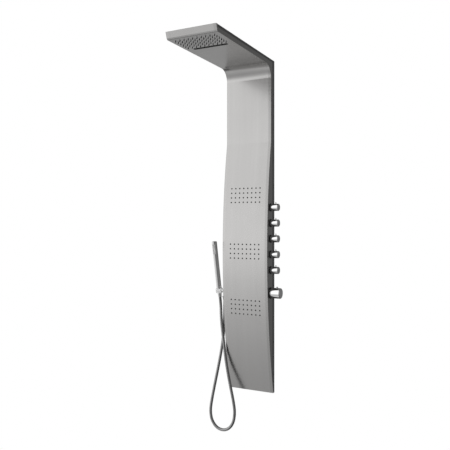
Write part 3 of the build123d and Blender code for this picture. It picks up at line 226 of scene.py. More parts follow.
class GroupShelf:
    """The shader node groups that more than one finish uses, each made once."""

    STREAK_LAYERS = (("Line", 1.0, 4.0), ("Band", 0.04, 2.0))
    STREAK_ROUGHNESS = 0.6
    MARK_NOISE = {"Detail": 5.0, "Distortion": 0.6}
    MARK_RANGE = {"From Min": 0.42, "From Max": 0.68}

    def __init__(self) -> None:
        """Start with an empty shelf."""
        self._groups: dict[str, bpy.types.NodeTree] = {}

    def _group(self, name: str, make: Callable[[bpy.types.NodeTree], None]) -> bpy.types.NodeTree:
        """Find a group, or make it when it is first asked for.

        Args:
            name: The group's name.
            make: What fills an empty group.

        Returns:
            The group.
        """
        if name not in self._groups:
            tree = bpy.data.node_groups.new(name, "ShaderNodeTree")
            make(tree)
            self._groups[name] = tree
        return self._groups[name]

    def streaks(self) -> bpy.types.NodeTree:
        """Give the group for fine lines left by a brushing belt or a lathe."""
        return self._group("belt_streaks", self._make_streaks)

    def marks(self) -> bpy.types.NodeTree:
        """Give the group for faint dried water and finger marks."""
        return self._group("dried_marks", self._make_marks)

    @staticmethod
    def _sockets(tree: bpy.types.NodeTree, values: dict[str, float], outputs: Sequence[str]) -> None:
        """Give a group its vector input, its value inputs and its outputs.

        Args:
            tree: The group.
            values: Name and first value of each value input.
            outputs: Name of each output.
        """
        tree.interface.new_socket("Vector", in_out="INPUT", socket_type="NodeSocketVector")
        for name, default in values.items():
            socket = tree.interface.new_socket(name, in_out="INPUT", socket_type="NodeSocketFloat")
            socket.default_value = default
        for name in outputs:
            tree.interface.new_socket(name, in_out="OUTPUT", socket_type="NodeSocketFloat")

    def _make_streaks(self, tree: bpy.types.NodeTree) -> None:
        """Build the streak group: fine lines, and the broad bands that they lie in.

        Args:
            tree: The group to fill.
        """
        self._sockets(tree, {"Fineness": 900.0}, ["Line", "Band"])
        sheet = NodeSheet(tree)
        given = sheet.add("NodeGroupInput").outputs
        end = sheet.add("NodeGroupOutput")
        for output, share, detail in self.STREAK_LAYERS:
            noise = sheet.add("ShaderNodeTexNoise", {
                "Vector": given["Vector"], "Scale": sheet.maths("MULTIPLY", given["Fineness"], share),
                "Detail": detail, "Roughness": self.STREAK_ROUGHNESS})
            sheet.feed(end, {output: noise.outputs["Fac"]})

    def _make_marks(self, tree: bpy.types.NodeTree) -> None:
        """Build the marks group: broad soft patches broken up by small ones.

        Args:
            tree: The group to fill.
        """
        self._sockets(tree, {"Size": 9.0}, ["Mask"])
        sheet = NodeSheet(tree)
        given = sheet.add("NodeGroupInput").outputs
        inputs = {"Vector": given["Vector"], "Scale": given["Size"], **self.MARK_NOISE}
        noise = sheet.add("ShaderNodeTexNoise", inputs)
        ramp = sheet.add("ShaderNodeMapRange", {"Value": noise.outputs["Fac"], **self.MARK_RANGE},
                         interpolation_type="SMOOTHSTEP")
        sheet.add("NodeGroupOutput", {"Mask": ramp.outputs["Result"]})


# ---------------------------------------------------------------- finishes
@dataclass(frozen=True)
class Finish:
    """What every finish has: two colours and the range of its roughness."""

    label: str
    light: Colour
    dark: Colour
    smooth: float
    dull: float

    def _start(self, shelf: GroupShelf, mark_size: float, bump_height: float) -> tuple:
        """Start a material whose roughness follows dried marks.

        Args:
            shelf: Where the shared node groups are.
            mark_size: How fine the marks are.
            bump_height: How high its texture stands.

        Returns:
            The material, its sheet, its shader, the place socket, the marks and the bump.
        """
        material = bpy.data.materials.new(self.label)
        material.use_nodes = True
        sheet = NodeSheet(material.node_tree)
        shader = material.node_tree.nodes["Principled BSDF"]
        place = sheet.add("ShaderNodeTexCoord").outputs["Object"]
        inputs = {"Vector": place, "Size": mark_size}
        marks = sheet.add("ShaderNodeGroup", inputs, node_tree=shelf.marks()).outputs["Mask"]
        bump = sheet.add("ShaderNodeBump", {"Distance": bump_height})
        sheet.feed(shader, {"Roughness": sheet.scaled(marks, self.smooth, self.dull),
                            "Normal": bump.outputs["Normal"]})
        return material, sheet, shader, place, marks, bump


@dataclass(frozen=True)
class MetalFinish(Finish):
    """A bare or plated metal surface with a brushed or turned grain."""

    grain: Grain = Grain.ACROSS_X
    fineness: float = 900.0
    grain_height: float = 0.00002
    mark_size: float = 9.0
    stretch: float = 0.02

    def material(self, shelf: GroupShelf) -> bpy.types.Material:
        """Build the material.

        Args:
            shelf: Where the shared node groups are.

        Returns:
            The finished material.
        """
        material, sheet, shader, place, _, bump = self._start(shelf, self.mark_size, self.grain_height)
        scale = [max(share, self.stretch) for share in self.grain.value]
        mapping = sheet.add("ShaderNodeMapping", {"Vector": place, "Scale": scale})
        inputs = {"Vector": mapping.outputs["Vector"], "Fineness": self.fineness}
        streaks = sheet.add("ShaderNodeGroup", inputs, node_tree=shelf.streaks()).outputs
        sheet.feed(shader, {"Metallic": 1.0,
                            "Base Color": sheet.blended(streaks["Band"], self.dark, self.light)})
        sheet.feed(bump, {"Height": streaks["Line"]})
        return material


@dataclass(frozen=True)
class MouldedFinish(Finish):
    """A moulded plastic, rubber or lacquered surface with a fine texture."""

    texture_scale: float = 1400.0
    texture_height: float = 0.00003
    mark_size: float = 25.0

    def material(self, shelf: GroupShelf) -> bpy.types.Material:
        """Build the material.

        Args:
            shelf: Where the shared node groups are.

        Returns:
            The finished material.
        """
        material, sheet, shader, place, marks, bump = self._start(shelf, self.mark_size, self.texture_height)
        pits = sheet.add("ShaderNodeTexNoise", {"Vector": place, "Scale": self.texture_scale})
        sheet.feed(shader, {"Base Color": sheet.blended(marks, self.light, self.dark)})
        sheet.feed(bump, {"Height": pits.outputs["Fac"]})
        return material


def grey(level: float, warmth: float = 0.0) -> Colour:
    """Give a near-neutral colour.

    Args:
        level: How light it is, from 0 to 1.
        warmth: How much more red than blue it holds.

    Returns:
        The colour.
    """
    return (level + warmth / 2, level, level - warmth / 2)


FINISHES = {
    "front_steel": MetalFinish("satin_front_steel", grey(0.535, 0.012), grey(0.485, 0.012), 0.24, 0.27,
                               Grain.ACROSS_X, 900.0, 0.000005, 5.0),
    "side_steel": MetalFinish("satin_side_steel", grey(0.45, 0.01), grey(0.39, 0.01), 0.26, 0.31,
                              Grain.ACROSS_Y, 900.0, 0.000006, 6.0),
    "strip_steel": MetalFinish("dark_rear_strip", grey(0.25), grey(0.19), 0.34, 0.42,
                               Grain.ACROSS_Y, 600.0, 0.00001),
    "bracket_steel": MetalFinish("mill_bracket_steel", grey(0.56), grey(0.44), 0.34, 0.5,
                                 Grain.ACROSS_X, 500.0, 0.00002, 14.0),
    "screw_steel": MetalFinish("plain_screw_steel", grey(0.60), grey(0.48), 0.22, 0.34,
                               Grain.ALONG_Z, 1600.0, 0.00001, 60.0),
    "pipe_steel": MetalFinish("drawn_pipe_steel", grey(0.62), grey(0.50), 0.2, 0.34,
                              Grain.ALONG_Z, 900.0, 0.00001, 30.0),
    "valve_brass": MetalFinish("cast_valve_brass", (0.62, 0.44, 0.20), (0.46, 0.31, 0.13), 0.3, 0.46,
                               Grain.ALONG_Z, 500.0, 0.00004, 40.0, 0.7),
    "spindle_brass": MetalFinish("turned_spindle_brass", (0.66, 0.48, 0.23), (0.54, 0.38, 0.17), 0.2, 0.3,
                                 Grain.ACROSS_X, 1500.0, 0.00001, 60.0),
    "polished_chrome": MetalFinish("polished_chrome", grey(0.92), grey(0.88), 0.04, 0.08,
                                   Grain.ACROSS_X, 400.0, 0.0000005, 35.0),
    "wand_chrome": MetalFinish("drawn_wand_chrome", grey(0.88), grey(0.82), 0.12, 0.17,
                               Grain.ALONG_Z, 900.0, 0.000001, 35.0),
    # Pale diffuse finish on the chrome holder: a painted reflection, standing in for the bright reflection
    # that the polished holder shows.
    "holder_painted_reflection": MouldedFinish("pale_holder_painted_reflection", grey(0.52), grey(0.46), 0.18, 0.26,
                                  900.0, 0.000002, 60.0),
    # Near-black chrome on the knob rings: painted shade, standing in for the shadow round the bases of the
    # knobs.
    "knob_base_painted_shade": MetalFinish("dark_chrome_ring_painted_shade", grey(0.10), grey(0.07), 0.22, 0.3,
                               Grain.ACROSS_X, 900.0, 0.000002, 60.0),
    "scale_chrome": MetalFinish("satin_scale_chrome", grey(0.66), grey(0.58), 0.24, 0.34,
                                Grain.ACROSS_X, 1500.0, 0.000005, 60.0),
    "hose_metal": MetalFinish("wound_hose_steel", grey(0.40), grey(0.30), 0.2, 0.32,
                              Grain.ALONG_Z, 900.0, 0.000005, 40.0),
    "nozzle_silicone": MouldedFinish("dark_nozzle_silicone", grey(0.02), grey(0.03), 0.5, 0.62),
    "chamber_plastic": MouldedFinish("moulded_chamber_plastic", grey(0.05), grey(0.065), 0.4, 0.55),
    "lip_plastic": MouldedFinish("moulded_slot_lip", grey(0.012), grey(0.02), 0.42, 0.55),
    "wand_face_silicone": MouldedFinish("pale_spray_silicone", grey(0.34), grey(0.27), 0.4, 0.5),
    "core_plastic": MouldedFinish("extruded_core_plastic", grey(0.72, 0.02), grey(0.64, 0.02), 0.35, 0.45),
    # Dark ink for the printed temperature marks; it also paints the band that stands for the shade in the
    # groove at each flow knob's base.
    "print_and_groove_shade_ink": MouldedFinish("dark_print_and_groove_shade_ink", grey(0.03), grey(0.04), 0.45, 0.55),
    "cold_ink": MouldedFinish("cold_mark_ink", (0.02, 0.10, 0.45), (0.02, 0.08, 0.36), 0.45, 0.55),
    "hot_ink": MouldedFinish("hot_mark_ink", (0.50, 0.02, 0.02), (0.42, 0.02, 0.02), 0.45, 0.55),
    "seal_rubber": MouldedFinish("seal_rubber", grey(0.025), grey(0.04), 0.55, 0.7),
}


class FinishShop:
    """Makes each finish once and puts it on pieces and on nodes of the frame."""

    def __init__(self, frame: dict) -> None:
        """Set up the shop.
        """
        self.nodes = frame["nodes"]
        self.shelf = GroupShelf()
        self._made: dict[str, bpy.types.Material] = {}

    def material(self, finish: str) -> bpy.types.Material:
        """Give the material of a finish.

        Args:
            finish: The finish's key.

        Returns:
            The material, made when it is first asked for.
        """
        if finish not in self._made:
            self._made[finish] = FINISHES[finish].material(self.shelf)
        return self._made[finish]

    def dress(self, finish: str, *names: str) -> None:
        """Put a finish on nodes of the frame.

        Args:
            finish: The finish's key.
            names: The nodes.
        """
        for name in names:
            for slot in self.nodes[name].material_slots:
                slot.material = self.material(finish)


# ---------------------------------------------------------------- mesh work
class Workpiece:
    """A mesh under work, with the few operations that the pieces need."""

    def __init__(self) -> None:
        """Start an empty mesh."""
        self.mesh = bmesh.new()

    def turned(self, profile: Profile, steps: int = 64, closed: bool = False) -> Workpiece:
        """Turn a profile round the Z axis, as on a lathe.

        Args:
            profile: Radius and height of each corner.
            steps: Faces in a full turn.
            closed: Whether the profile runs back to its first corner.

        Returns:
            This workpiece.
        """
        corners = [self.mesh.verts.new((radius, 0.0, height)) for radius, height in profile]
        edges = [self.mesh.edges.new(pair) for pair in zip(corners, corners[1:])]
        if closed:
            edges.append(self.mesh.edges.new((corners[-1], corners[0])))
        bmesh.ops.spin(self.mesh, geom=corners + edges, cent=(0, 0, 0), axis=(0, 0, 1),
                       dvec=(0, 0, 0), angle=math.tau, steps=steps, use_merge=True)
        return self.cleaned()

    def cleaned(self) -> Workpiece:
        """Merge doubled corners and turn every face outwards.

        Returns:
            This workpiece.
        """
        bmesh.ops.remove_doubles(self.mesh, verts=self.mesh.verts, dist=0.000001)
        bmesh.ops.recalc_face_normals(self.mesh, faces=self.mesh.faces)
        return self

    def softened(self, width: float, over: float = 30.0, segments: int = 3) -> Workpiece:
        """Round the sharp edges.

        Args:
            width: Width of each rounding.
            over: Edges sharper than this many degrees are rounded.
            segments: Faces across each rounding.

        Returns:
            This workpiece.
        """
        limit = math.radians(over)
        sharp = [edge for edge in self.mesh.edges
                 if len(edge.link_faces) == 2 and edge.calc_face_angle(0.0) > limit]
        bmesh.ops.bevel(self.mesh, geom=sharp, offset=width, offset_type="OFFSET", affect="EDGES",
                        segments=segments, profile=0.5, material=-1)
        return self

    def moved(self, place: Vector, direction: Vector | None = None) -> Workpiece:
        """Put the mesh in its place, with its Z axis along a direction.

        Args:
            place: Where its origin goes.
            direction: Where its Z axis points, or None to leave it.

        Returns:
            This workpiece.
        """
        matrix = Matrix.Translation(place)
        if direction is not None:
            matrix = matrix @ direction.to_track_quat("Z", "Y").to_matrix().to_4x4()
        bmesh.ops.transform(self.mesh, matrix=matrix, verts=self.mesh.verts)
        return self

    def joined(self, other: Workpiece) -> Workpiece:
        """Take another workpiece's mesh into this one.

        Args:
            other: The workpiece that is used up.

        Returns:
            This workpiece.
        """
        spare = bpy.data.meshes.new("spare")
        other.mesh.to_mesh(spare)
        other.mesh.free()
        self.mesh.from_mesh(spare)
        bpy.data.meshes.remove(spare)
        return self

    def piece(self, name: str, shop: FinishShop, finish: str, body: str | None,
              sharp: float = 40.0) -> bpy.types.Object:
        """Make the finished object and let it ride on a body.

        Args:
            name: The piece's name.
            shop: Where its finish comes from.
            finish: The finish's key.
            body: The body that it moves with, or None to leave it on no body.
            sharp: Edges over this many degrees stay sharp.

        Returns:
            The object.
        """
        mesh = bpy.data.meshes.new(name)
        self.mesh.to_mesh(mesh)
        self.mesh.free()
        mesh.shade_smooth()
        mesh.set_sharp_from_angle(angle=math.radians(sharp))
        mesh.materials.append(shop.material(finish))
        made = bpy.data.objects.new(name, mesh)
        bpy.context.scene.collection.objects.link(made)
        if body is not None:
            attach(made, body)
        log.info("%s: %d faces on %s", name, len(mesh.polygons), body or "no one body")
        return made


def collar(inner: float, outer: float, length: float, steps: int = 64) -> Workpiece:
    """Make a square-edged ring that stands on the XY plane.

    Args:
        inner: Its bore's radius.
        outer: Its outer radius.
        length: Its height.
        steps: Faces round it.

    Returns:
        The workpiece.
    """
    corners = [(inner, 0.0), (outer, 0.0), (outer, length), (inner, length)]
    return Workpiece().turned(corners, steps, closed=True)


def slab(outline: Sequence[Vector], thickness: Vector) -> Workpiece:
    """Make a flat plate from its outline.

    Args:
        outline: The corners of one face, in order.
        thickness: Where the other face lies from it.

    Returns:
        The workpiece.
    """
    work = Workpiece()
    face = work.mesh.faces.new([work.mesh.verts.new(corner) for corner in outline])
    grown = bmesh.ops.extrude_face_region(work.mesh, geom=[face], use_keep_orig=True)["geom"]
    corners = [item for item in grown if isinstance(item, bmesh.types.BMVert)]
    bmesh.ops.translate(work.mesh, vec=thickness, verts=corners)
    return work.cleaned()


def gathered(pieces: Iterable[Workpiece]) -> Workpiece:
    """Put many small workpieces into one.

    Args:
        pieces: The workpieces, which are used up.

    Returns:
        The whole.
    """
    whole = Workpiece()
    for piece in pieces:
        whole.joined(piece)
    return whole


def planted(profile: Profile, places: Iterable[tuple[Vector, Vector]], steps: int = 14) -> Workpiece:
    """Turn the same small ring at many places.

    Args:
        profile: Radius and height of the ring's corners.
        places: Where each ring's origin is and where its axis points.
        steps: Faces round each ring.

    Returns:
        All the rings in one workpiece.
    """
    return gathered(Workpiece().turned(profile, steps, closed=True).moved(place, direction)
                    for place, direction in places)


def box_piece(low: Vector, high: Vector) -> Workpiece:
    """Make a box between two corners.

    Args:
        low: One corner.
        high: The opposite corner.

    Returns:
        The workpiece.
    """
    work = Workpiece()
    bmesh.ops.create_cube(work.mesh, size=1.0)
    size = Vector([abs(a - b) for a, b in zip(low, high)])
    bmesh.ops.scale(work.mesh, vec=size, verts=work.mesh.verts)
    bmesh.ops.translate(work.mesh, vec=(low + high) / 2, verts=work.mesh.verts)
    return work


# ---------------------------------------------------------------- studio
@dataclass(frozen=True)
class GlowPatch:
    """A soft bright patch of the studio's surroundings."""

    azimuth: float
    elevation: float
    core: float
    edge: float
    level: float

    def direction(self) -> Vector:
        """Give the direction of the patch's middle, from the object."""
        turn, rise = math.radians(self.azimuth), math.radians(self.elevation)
        return Vector((math.sin(turn) * math.cos(rise), -math.cos(turn) * math.cos(rise), math.sin(rise)))


@dataclass(frozen=True)
class Lamp:
    """A square soft light that polished surfaces don't mirror."""

    name: str
    place: tuple[float, float, float]
    size: float
    power: float


@dataclass
class Studio:
    """Camera, floor and light round the object."""

    camera_place: tuple[float, float, float] = (1.0875, -2.3905, -0.028)
    camera_turn: float = 27.2
    lens: float = 45.44
    shift: float = -0.0067
    floor_height: float = -1.45
    floor_front: float = -4.2
    floor_back: float = 0.1
    floor_half_width: float = 3.4
    floor_colour: Colour = (0.86, 0.86, 0.85)
    floor_roughness: float = 0.8
    base_level: float = 0.07
    tent: GlowPatch = GlowPatch(-64.0, 0.0, 42.0, 74.0, 1.0)
    tent_stretch: float = 0.22
    tent_levels: tuple[tuple[float, float], ...] = (
        (-90.0, 0.60), (-80.0, 0.72), (-60.0, 0.52), (-42.0, 0.39), (-31.0, 0.47),
        (-19.0, 0.63), (-3.0, 1.10), (2.0, 1.17), (7.0, 1.13), (11.5, 1.02),
        (15.0, 1.00), (20.0, 1.03), (40.0, 1.06), (90.0, 0.90),
    )
    patches: tuple[GlowPatch, ...] = (
        GlowPatch(-155.0, -14.0, 8.0, 33.0, 0.37),
        GlowPatch(96.0, 12.0, 6.0, 30.0, 0.21),
        GlowPatch(66.0, 4.0, 30.0, 72.0, 0.12),
        GlowPatch(155.0, 5.0, 8.0, 50.0, 0.10),
    )
    lamps: tuple[Lamp, ...] = (
        Lamp("overhead", (0.2, -1.4, 3.0), 3.0, 220.0),
        Lamp("fill", (2.0, -2.2, 1.6), 1.6, 40.0),
    )
    lamps_face: tuple[float, float, float] = (0.0, -0.1, -0.1)

    def camera(self) -> None:
        """Place the camera level, a little to the object's right."""
        data = bpy.data.cameras.new("camera")
        data.lens = self.lens
        data.shift_y = self.shift
        camera = bpy.data.objects.new("camera", data)
        camera.location = self.camera_place
        camera.rotation_euler = (math.radians(90.0), 0.0, math.radians(self.camera_turn))
        bpy.context.scene.collection.objects.link(camera)
        bpy.context.scene.camera = camera

    def floor(self) -> None:
        """Lay a plain pale floor well below the wall-hung object."""
        work = Workpiece()
        bmesh.ops.create_grid(work.mesh, x_segments=1, y_segments=1, size=1.0)
        middle = (self.floor_front + self.floor_back) / 2
        size = (self.floor_half_width, (self.floor_back - self.floor_front) / 2, 1.0)
        bmesh.ops.scale(work.mesh, vec=size, verts=work.mesh.verts)
        bmesh.ops.translate(work.mesh, vec=(0.0, middle, self.floor_height), verts=work.mesh.verts)
        mesh = bpy.data.meshes.new("floor")
        work.mesh.to_mesh(mesh)
        work.mesh.free()
        material = bpy.data.materials.new("pale_floor")
        material.use_nodes = True
        shader = material.node_tree.nodes["Principled BSDF"]
        shader.inputs["Base Color"].default_value = (*self.floor_colour, 1.0)
        shader.inputs["Roughness"].default_value = self.floor_roughness
        mesh.materials.append(material)
        floor = bpy.data.objects.new("floor", mesh)
        floor.visible_glossy = False
        bpy.context.scene.collection.objects.link(floor)

    @staticmethod
    def _glow(sheet: NodeSheet, place: bpy.types.NodeSocket, patch: GlowPatch) -> bpy.types.NodeSocket:
        """Give the level of one patch in every direction.

        Args:
            sheet: The world's nodes.
            place: The direction.
            patch: The patch.

        Returns:
            The level.
        """
        facing = sheet.add("ShaderNodeVectorMath", {0: place, 1: patch.direction()}, operation="DOT_PRODUCT")
        ramp = sheet.add("ShaderNodeMapRange", {
            "Value": facing.outputs["Value"], "From Min": math.cos(math.radians(patch.edge)),
            "From Max": math.cos(math.radians(patch.core)), "To Max": patch.level})
        return ramp.outputs["Result"]

    def _tent(self, sheet: NodeSheet, place: bpy.types.NodeSocket) -> bpy.types.NodeSocket:
        """Give the level of the large tent in front, which changes with height.

        Args:
            sheet: The world's nodes.
            place: The direction.

        Returns:
            The level.
        """
        apart = sheet.add("ShaderNodeSeparateXYZ", {"Vector": place})
        height = sheet.maths("MULTIPLY_ADD", apart.outputs["Z"], 0.5, 0.5)
        levels = sheet.add("ShaderNodeValToRGB", {"Fac": height})
        top = max(level for _, level in self.tent_levels)
        elements = levels.color_ramp.elements
        while len(elements) < len(self.tent_levels):
            elements.new(0.5)
        for element, (elevation, level) in zip(elements, self.tent_levels):
            element.position = 0.5 + 0.5 * math.sin(math.radians(elevation))
            element.color = (*grey(level / top), 1.0)
        stretch = {0: place, 1: (1.0, 1.0, self.tent_stretch)}
        tall = sheet.add("ShaderNodeVectorMath", stretch, operation="MULTIPLY")
        flat = sheet.add("ShaderNodeVectorMath", {0: tall.outputs["Vector"]}, operation="NORMALIZE")
        glow = self._glow(sheet, flat.outputs["Vector"], self.tent)
        return sheet.maths("MULTIPLY", sheet.maths("MULTIPLY", levels.outputs["Color"], glow), top)

    def surroundings(self) -> None:
        """Surround the object with soft patches of light on a dim ground."""
        world = bpy.data.worlds.new("studio")
        bpy.context.scene.world = world
        world.use_nodes = True
        world.node_tree.nodes.clear()
        sheet = NodeSheet(world.node_tree)
        place = sheet.add("ShaderNodeTexCoord").outputs["Generated"]
        total = self._tent(sheet, place)
        for patch in self.patches:
            total = sheet.maths("ADD", total, self._glow(sheet, place, patch))
        glow = sheet.add("ShaderNodeBackground", {"Color": sheet.maths("ADD", total, self.base_level)})
        white = sheet.add("ShaderNodeBackground", {"Color": (1.0, 1.0, 1.0, 1.0)})
        seen = sheet.add("ShaderNodeLightPath").outputs["Is Camera Ray"]
        either = sheet.add("ShaderNodeMixShader", {"Fac": seen, 1: glow.outputs[0], 2: white.outputs[0]})
        sheet.add("ShaderNodeOutputWorld", {"Surface": either.outputs[0]})

    def hang(self, lamp: Lamp) -> None:
        """Hang a lamp that faces the column.

        Args:
            lamp: The lamp.
        """
        data = bpy.data.lights.new(lamp.name, "AREA")
        data.size = lamp.size
        data.energy = lamp.power
        hung = bpy.data.objects.new(lamp.name, data)
        hung.location = lamp.place
        hung.rotation_mode = "QUATERNION"
        facing = Vector(self.lamps_face) - Vector(lamp.place)
        hung.rotation_quaternion = facing.to_track_quat("-Z", "Y")
        hung.visible_glossy = False
        bpy.context.scene.collection.objects.link(hung)

    def build(self) -> None:
        """Set up the whole studio."""
        self.camera()
        self.floor()
        self.surroundings()
        for lamp in self.lamps:
            self.hang(lamp)
        bpy.context.scene.view_settings.view_transform = "Standard"
        log.info("studio ready")


# ---------------------------------------------------------------- hose
@dataclass
class WoundHose:
    """The steel strip-wound hose: a lower piece round the loop and an upper one."""

    shop: FinishShop
    radius: float = 6.75 * MM
    winding: float = 3.2 * MM
    ridge: float = 0.45 * MM
    stations_per_turn: int = 4
    sides: int = 20
    lower_length: float = 1.0308
    upper_length: float = 0.2629
    outlet: Vector = field(default_factory=lambda: at(-0.126, 0.033, 0.409))
    meeting: Vector = field(default_factory=lambda: at(-0.1105, 0.0585, 0.165))
    wand_end: Vector = field(default_factory=lambda: at(-0.140, 0.05233, 0.42442))

    def lower_route(self) -> list[Vector]:
        """Give the lower piece's route.

        Returns:
            Its control points, outlet first.
        """
        places = [
            (-126.0, 33.0, 347.0), (-129.5, 34.5, 262.0), (-137.0, 38.5, 190.0),
            (-149.5, 43.5, 115.0), (-168.0, 49.0, 20.0), (-184.0, 53.0, -62.0),
            (-190.5, 54.5, -113.0), (-181.0, 56.0, -157.0), (-149.0, 57.5, -189.0),
            (-103.5, 59.0, -189.0), (-69.0, 60.0, -155.0), (-58.5, 61.0, -102.0),
            (-65.5, 61.6, -50.0), (-86.5, 61.2, 38.0), (-104.5, 60.0, 125.0),
        ]
        return [self.outlet] + [at(x * MM, d * MM, up * MM) for x, d, up in places] + [self.meeting]

    def upper_route(self) -> list[Vector]:
        """Give the upper piece's route.

        Returns:
            Its control points, from the meeting point to the wand.
        """
        places = [
            (-116.5, 57.0, 205.0), (-129.5, 51.0, 275.0), (-137.5, 46.5, 332.0),
            (-140.0, 43.39, 383.38),
        ]
        return [self.meeting] + [at(x * MM, d * MM, up * MM) for x, d, up in places] + [self.wand_end]

    @staticmethod
    def line(route: Sequence[Vector]) -> list[Vector]:
        """Read points off the smooth line that a route steers.

        Args:
            route: The line's control points.

        Returns:
            Closely spaced points on it.
        """
        curve = bpy.data.curves.new("route", "CURVE")
        curve.dimensions = "3D"
        spline = curve.splines.new("NURBS")
        spline.points.add(len(route) - 1)
        for point, place in zip(spline.points, route):
            point.co = (*place, 1.0)
        spline.order_u = 3
        spline.use_endpoint_u = True
        spline.resolution_u = 32
        holder = bpy.data.objects.new("route", curve)
        bpy.context.scene.collection.objects.link(holder)
        bpy.context.view_layer.update()
        mesh = bpy.data.meshes.new_from_object(holder)
        points = [vert.co.copy() for vert in mesh.vertices]
        bpy.data.objects.remove(holder)
        bpy.data.curves.remove(curve)
        bpy.data.meshes.remove(mesh)
        return points

    @staticmethod
    def stations(points: Sequence[Vector], step: float) -> list[Vector]:
        """Space points evenly along a line.

        Args:
            points: Closely spaced points on the line.
            step: About how far apart the new points are.

        Returns:
            The new points, ends included.
        """
        reach = [0.0]
        for before, after in zip(points, points[1:]):
            reach.append(reach[-1] + (after - before).length)
        count = round(reach[-1] / step)
        spaced, run = [], 0
        for place in range(count + 1):
            goal = reach[-1] * place / count
            while run < len(points) - 2 and reach[run + 1] < goal:
                run += 1
            share = (goal - reach[run]) / max(reach[run + 1] - reach[run], 1e-9)
            spaced.append(points[run].lerp(points[run + 1], share))
        return spaced

    def tube(self, stations: Sequence[Vector], turns_before: float) -> Workpiece:
        """Wind a ridged tube along evenly spaced points.

        Args:
            stations: The points.
            turns_before: Turns of the winding before the first point.

        Returns:
            The tube, closed at both ends.
        """
        work = Workpiece()
        ring = bmesh.ops.create_circle(work.mesh, segments=self.sides, radius=self.radius)["verts"]
        edges = list({edge for vert in ring for edge in vert.link_edges})
        across = (stations[1] - stations[0]).orthogonal().normalized()
        for index, centre in enumerate(stations):
            ahead = stations[min(index + 1, len(stations) - 1)] - stations[max(index - 1, 0)]
            ahead.normalize()
            across = (across - ahead * across.dot(ahead)).normalized()
            beside = ahead.cross(across)
            if index:
                grown = bmesh.ops.extrude_edge_only(work.mesh, edges=edges)["geom"]
                edges = [item for item in grown if isinstance(item, bmesh.types.BMEdge)]
                ring = self._next_ring(ring)
            turns = turns_before + index / self.stations_per_turn
            for side, vert in enumerate(ring):
                angle = math.tau * side / self.sides
                phase = (turns + side / self.sides) % 1.0
                radius = self.radius - self.ridge * (2.0 * phase - 1.0) ** 2
                vert.co = centre + (across * math.cos(angle) + beside * math.sin(angle)) * radius
        bmesh.ops.holes_fill(work.mesh, edges=[edge for edge in work.mesh.edges if edge.is_boundary],
                             sides=self.sides)
        return work.cleaned()

    @staticmethod
    def _next_ring(ring: Sequence[bmesh.types.BMVert]) -> list[bmesh.types.BMVert]:
        """Find the new corner that was drawn out of each corner of a ring."""
        return [vert.link_edges[-1].other_vert(vert) for vert in ring]

    def build(self) -> None:
        step = self.winding / self.stations_per_turn
        lower_line = self.stations(self.line(self.lower_route()), step)
        upper_line = self.stations(self.line(self.upper_route()), step)
        turns = (len(lower_line) - 1) / self.stations_per_turn
        lower = self.tube(lower_line, 0.0).piece("shower_hose_lower", self.shop, "hose_metal", Body.COLUMN)
        upper = self.tube(upper_line, turns).piece("shower_hose_upper", self.shop, "hose_metal", None)
        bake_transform(upper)
        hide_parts("hose_lower")
        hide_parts("hose_upper")


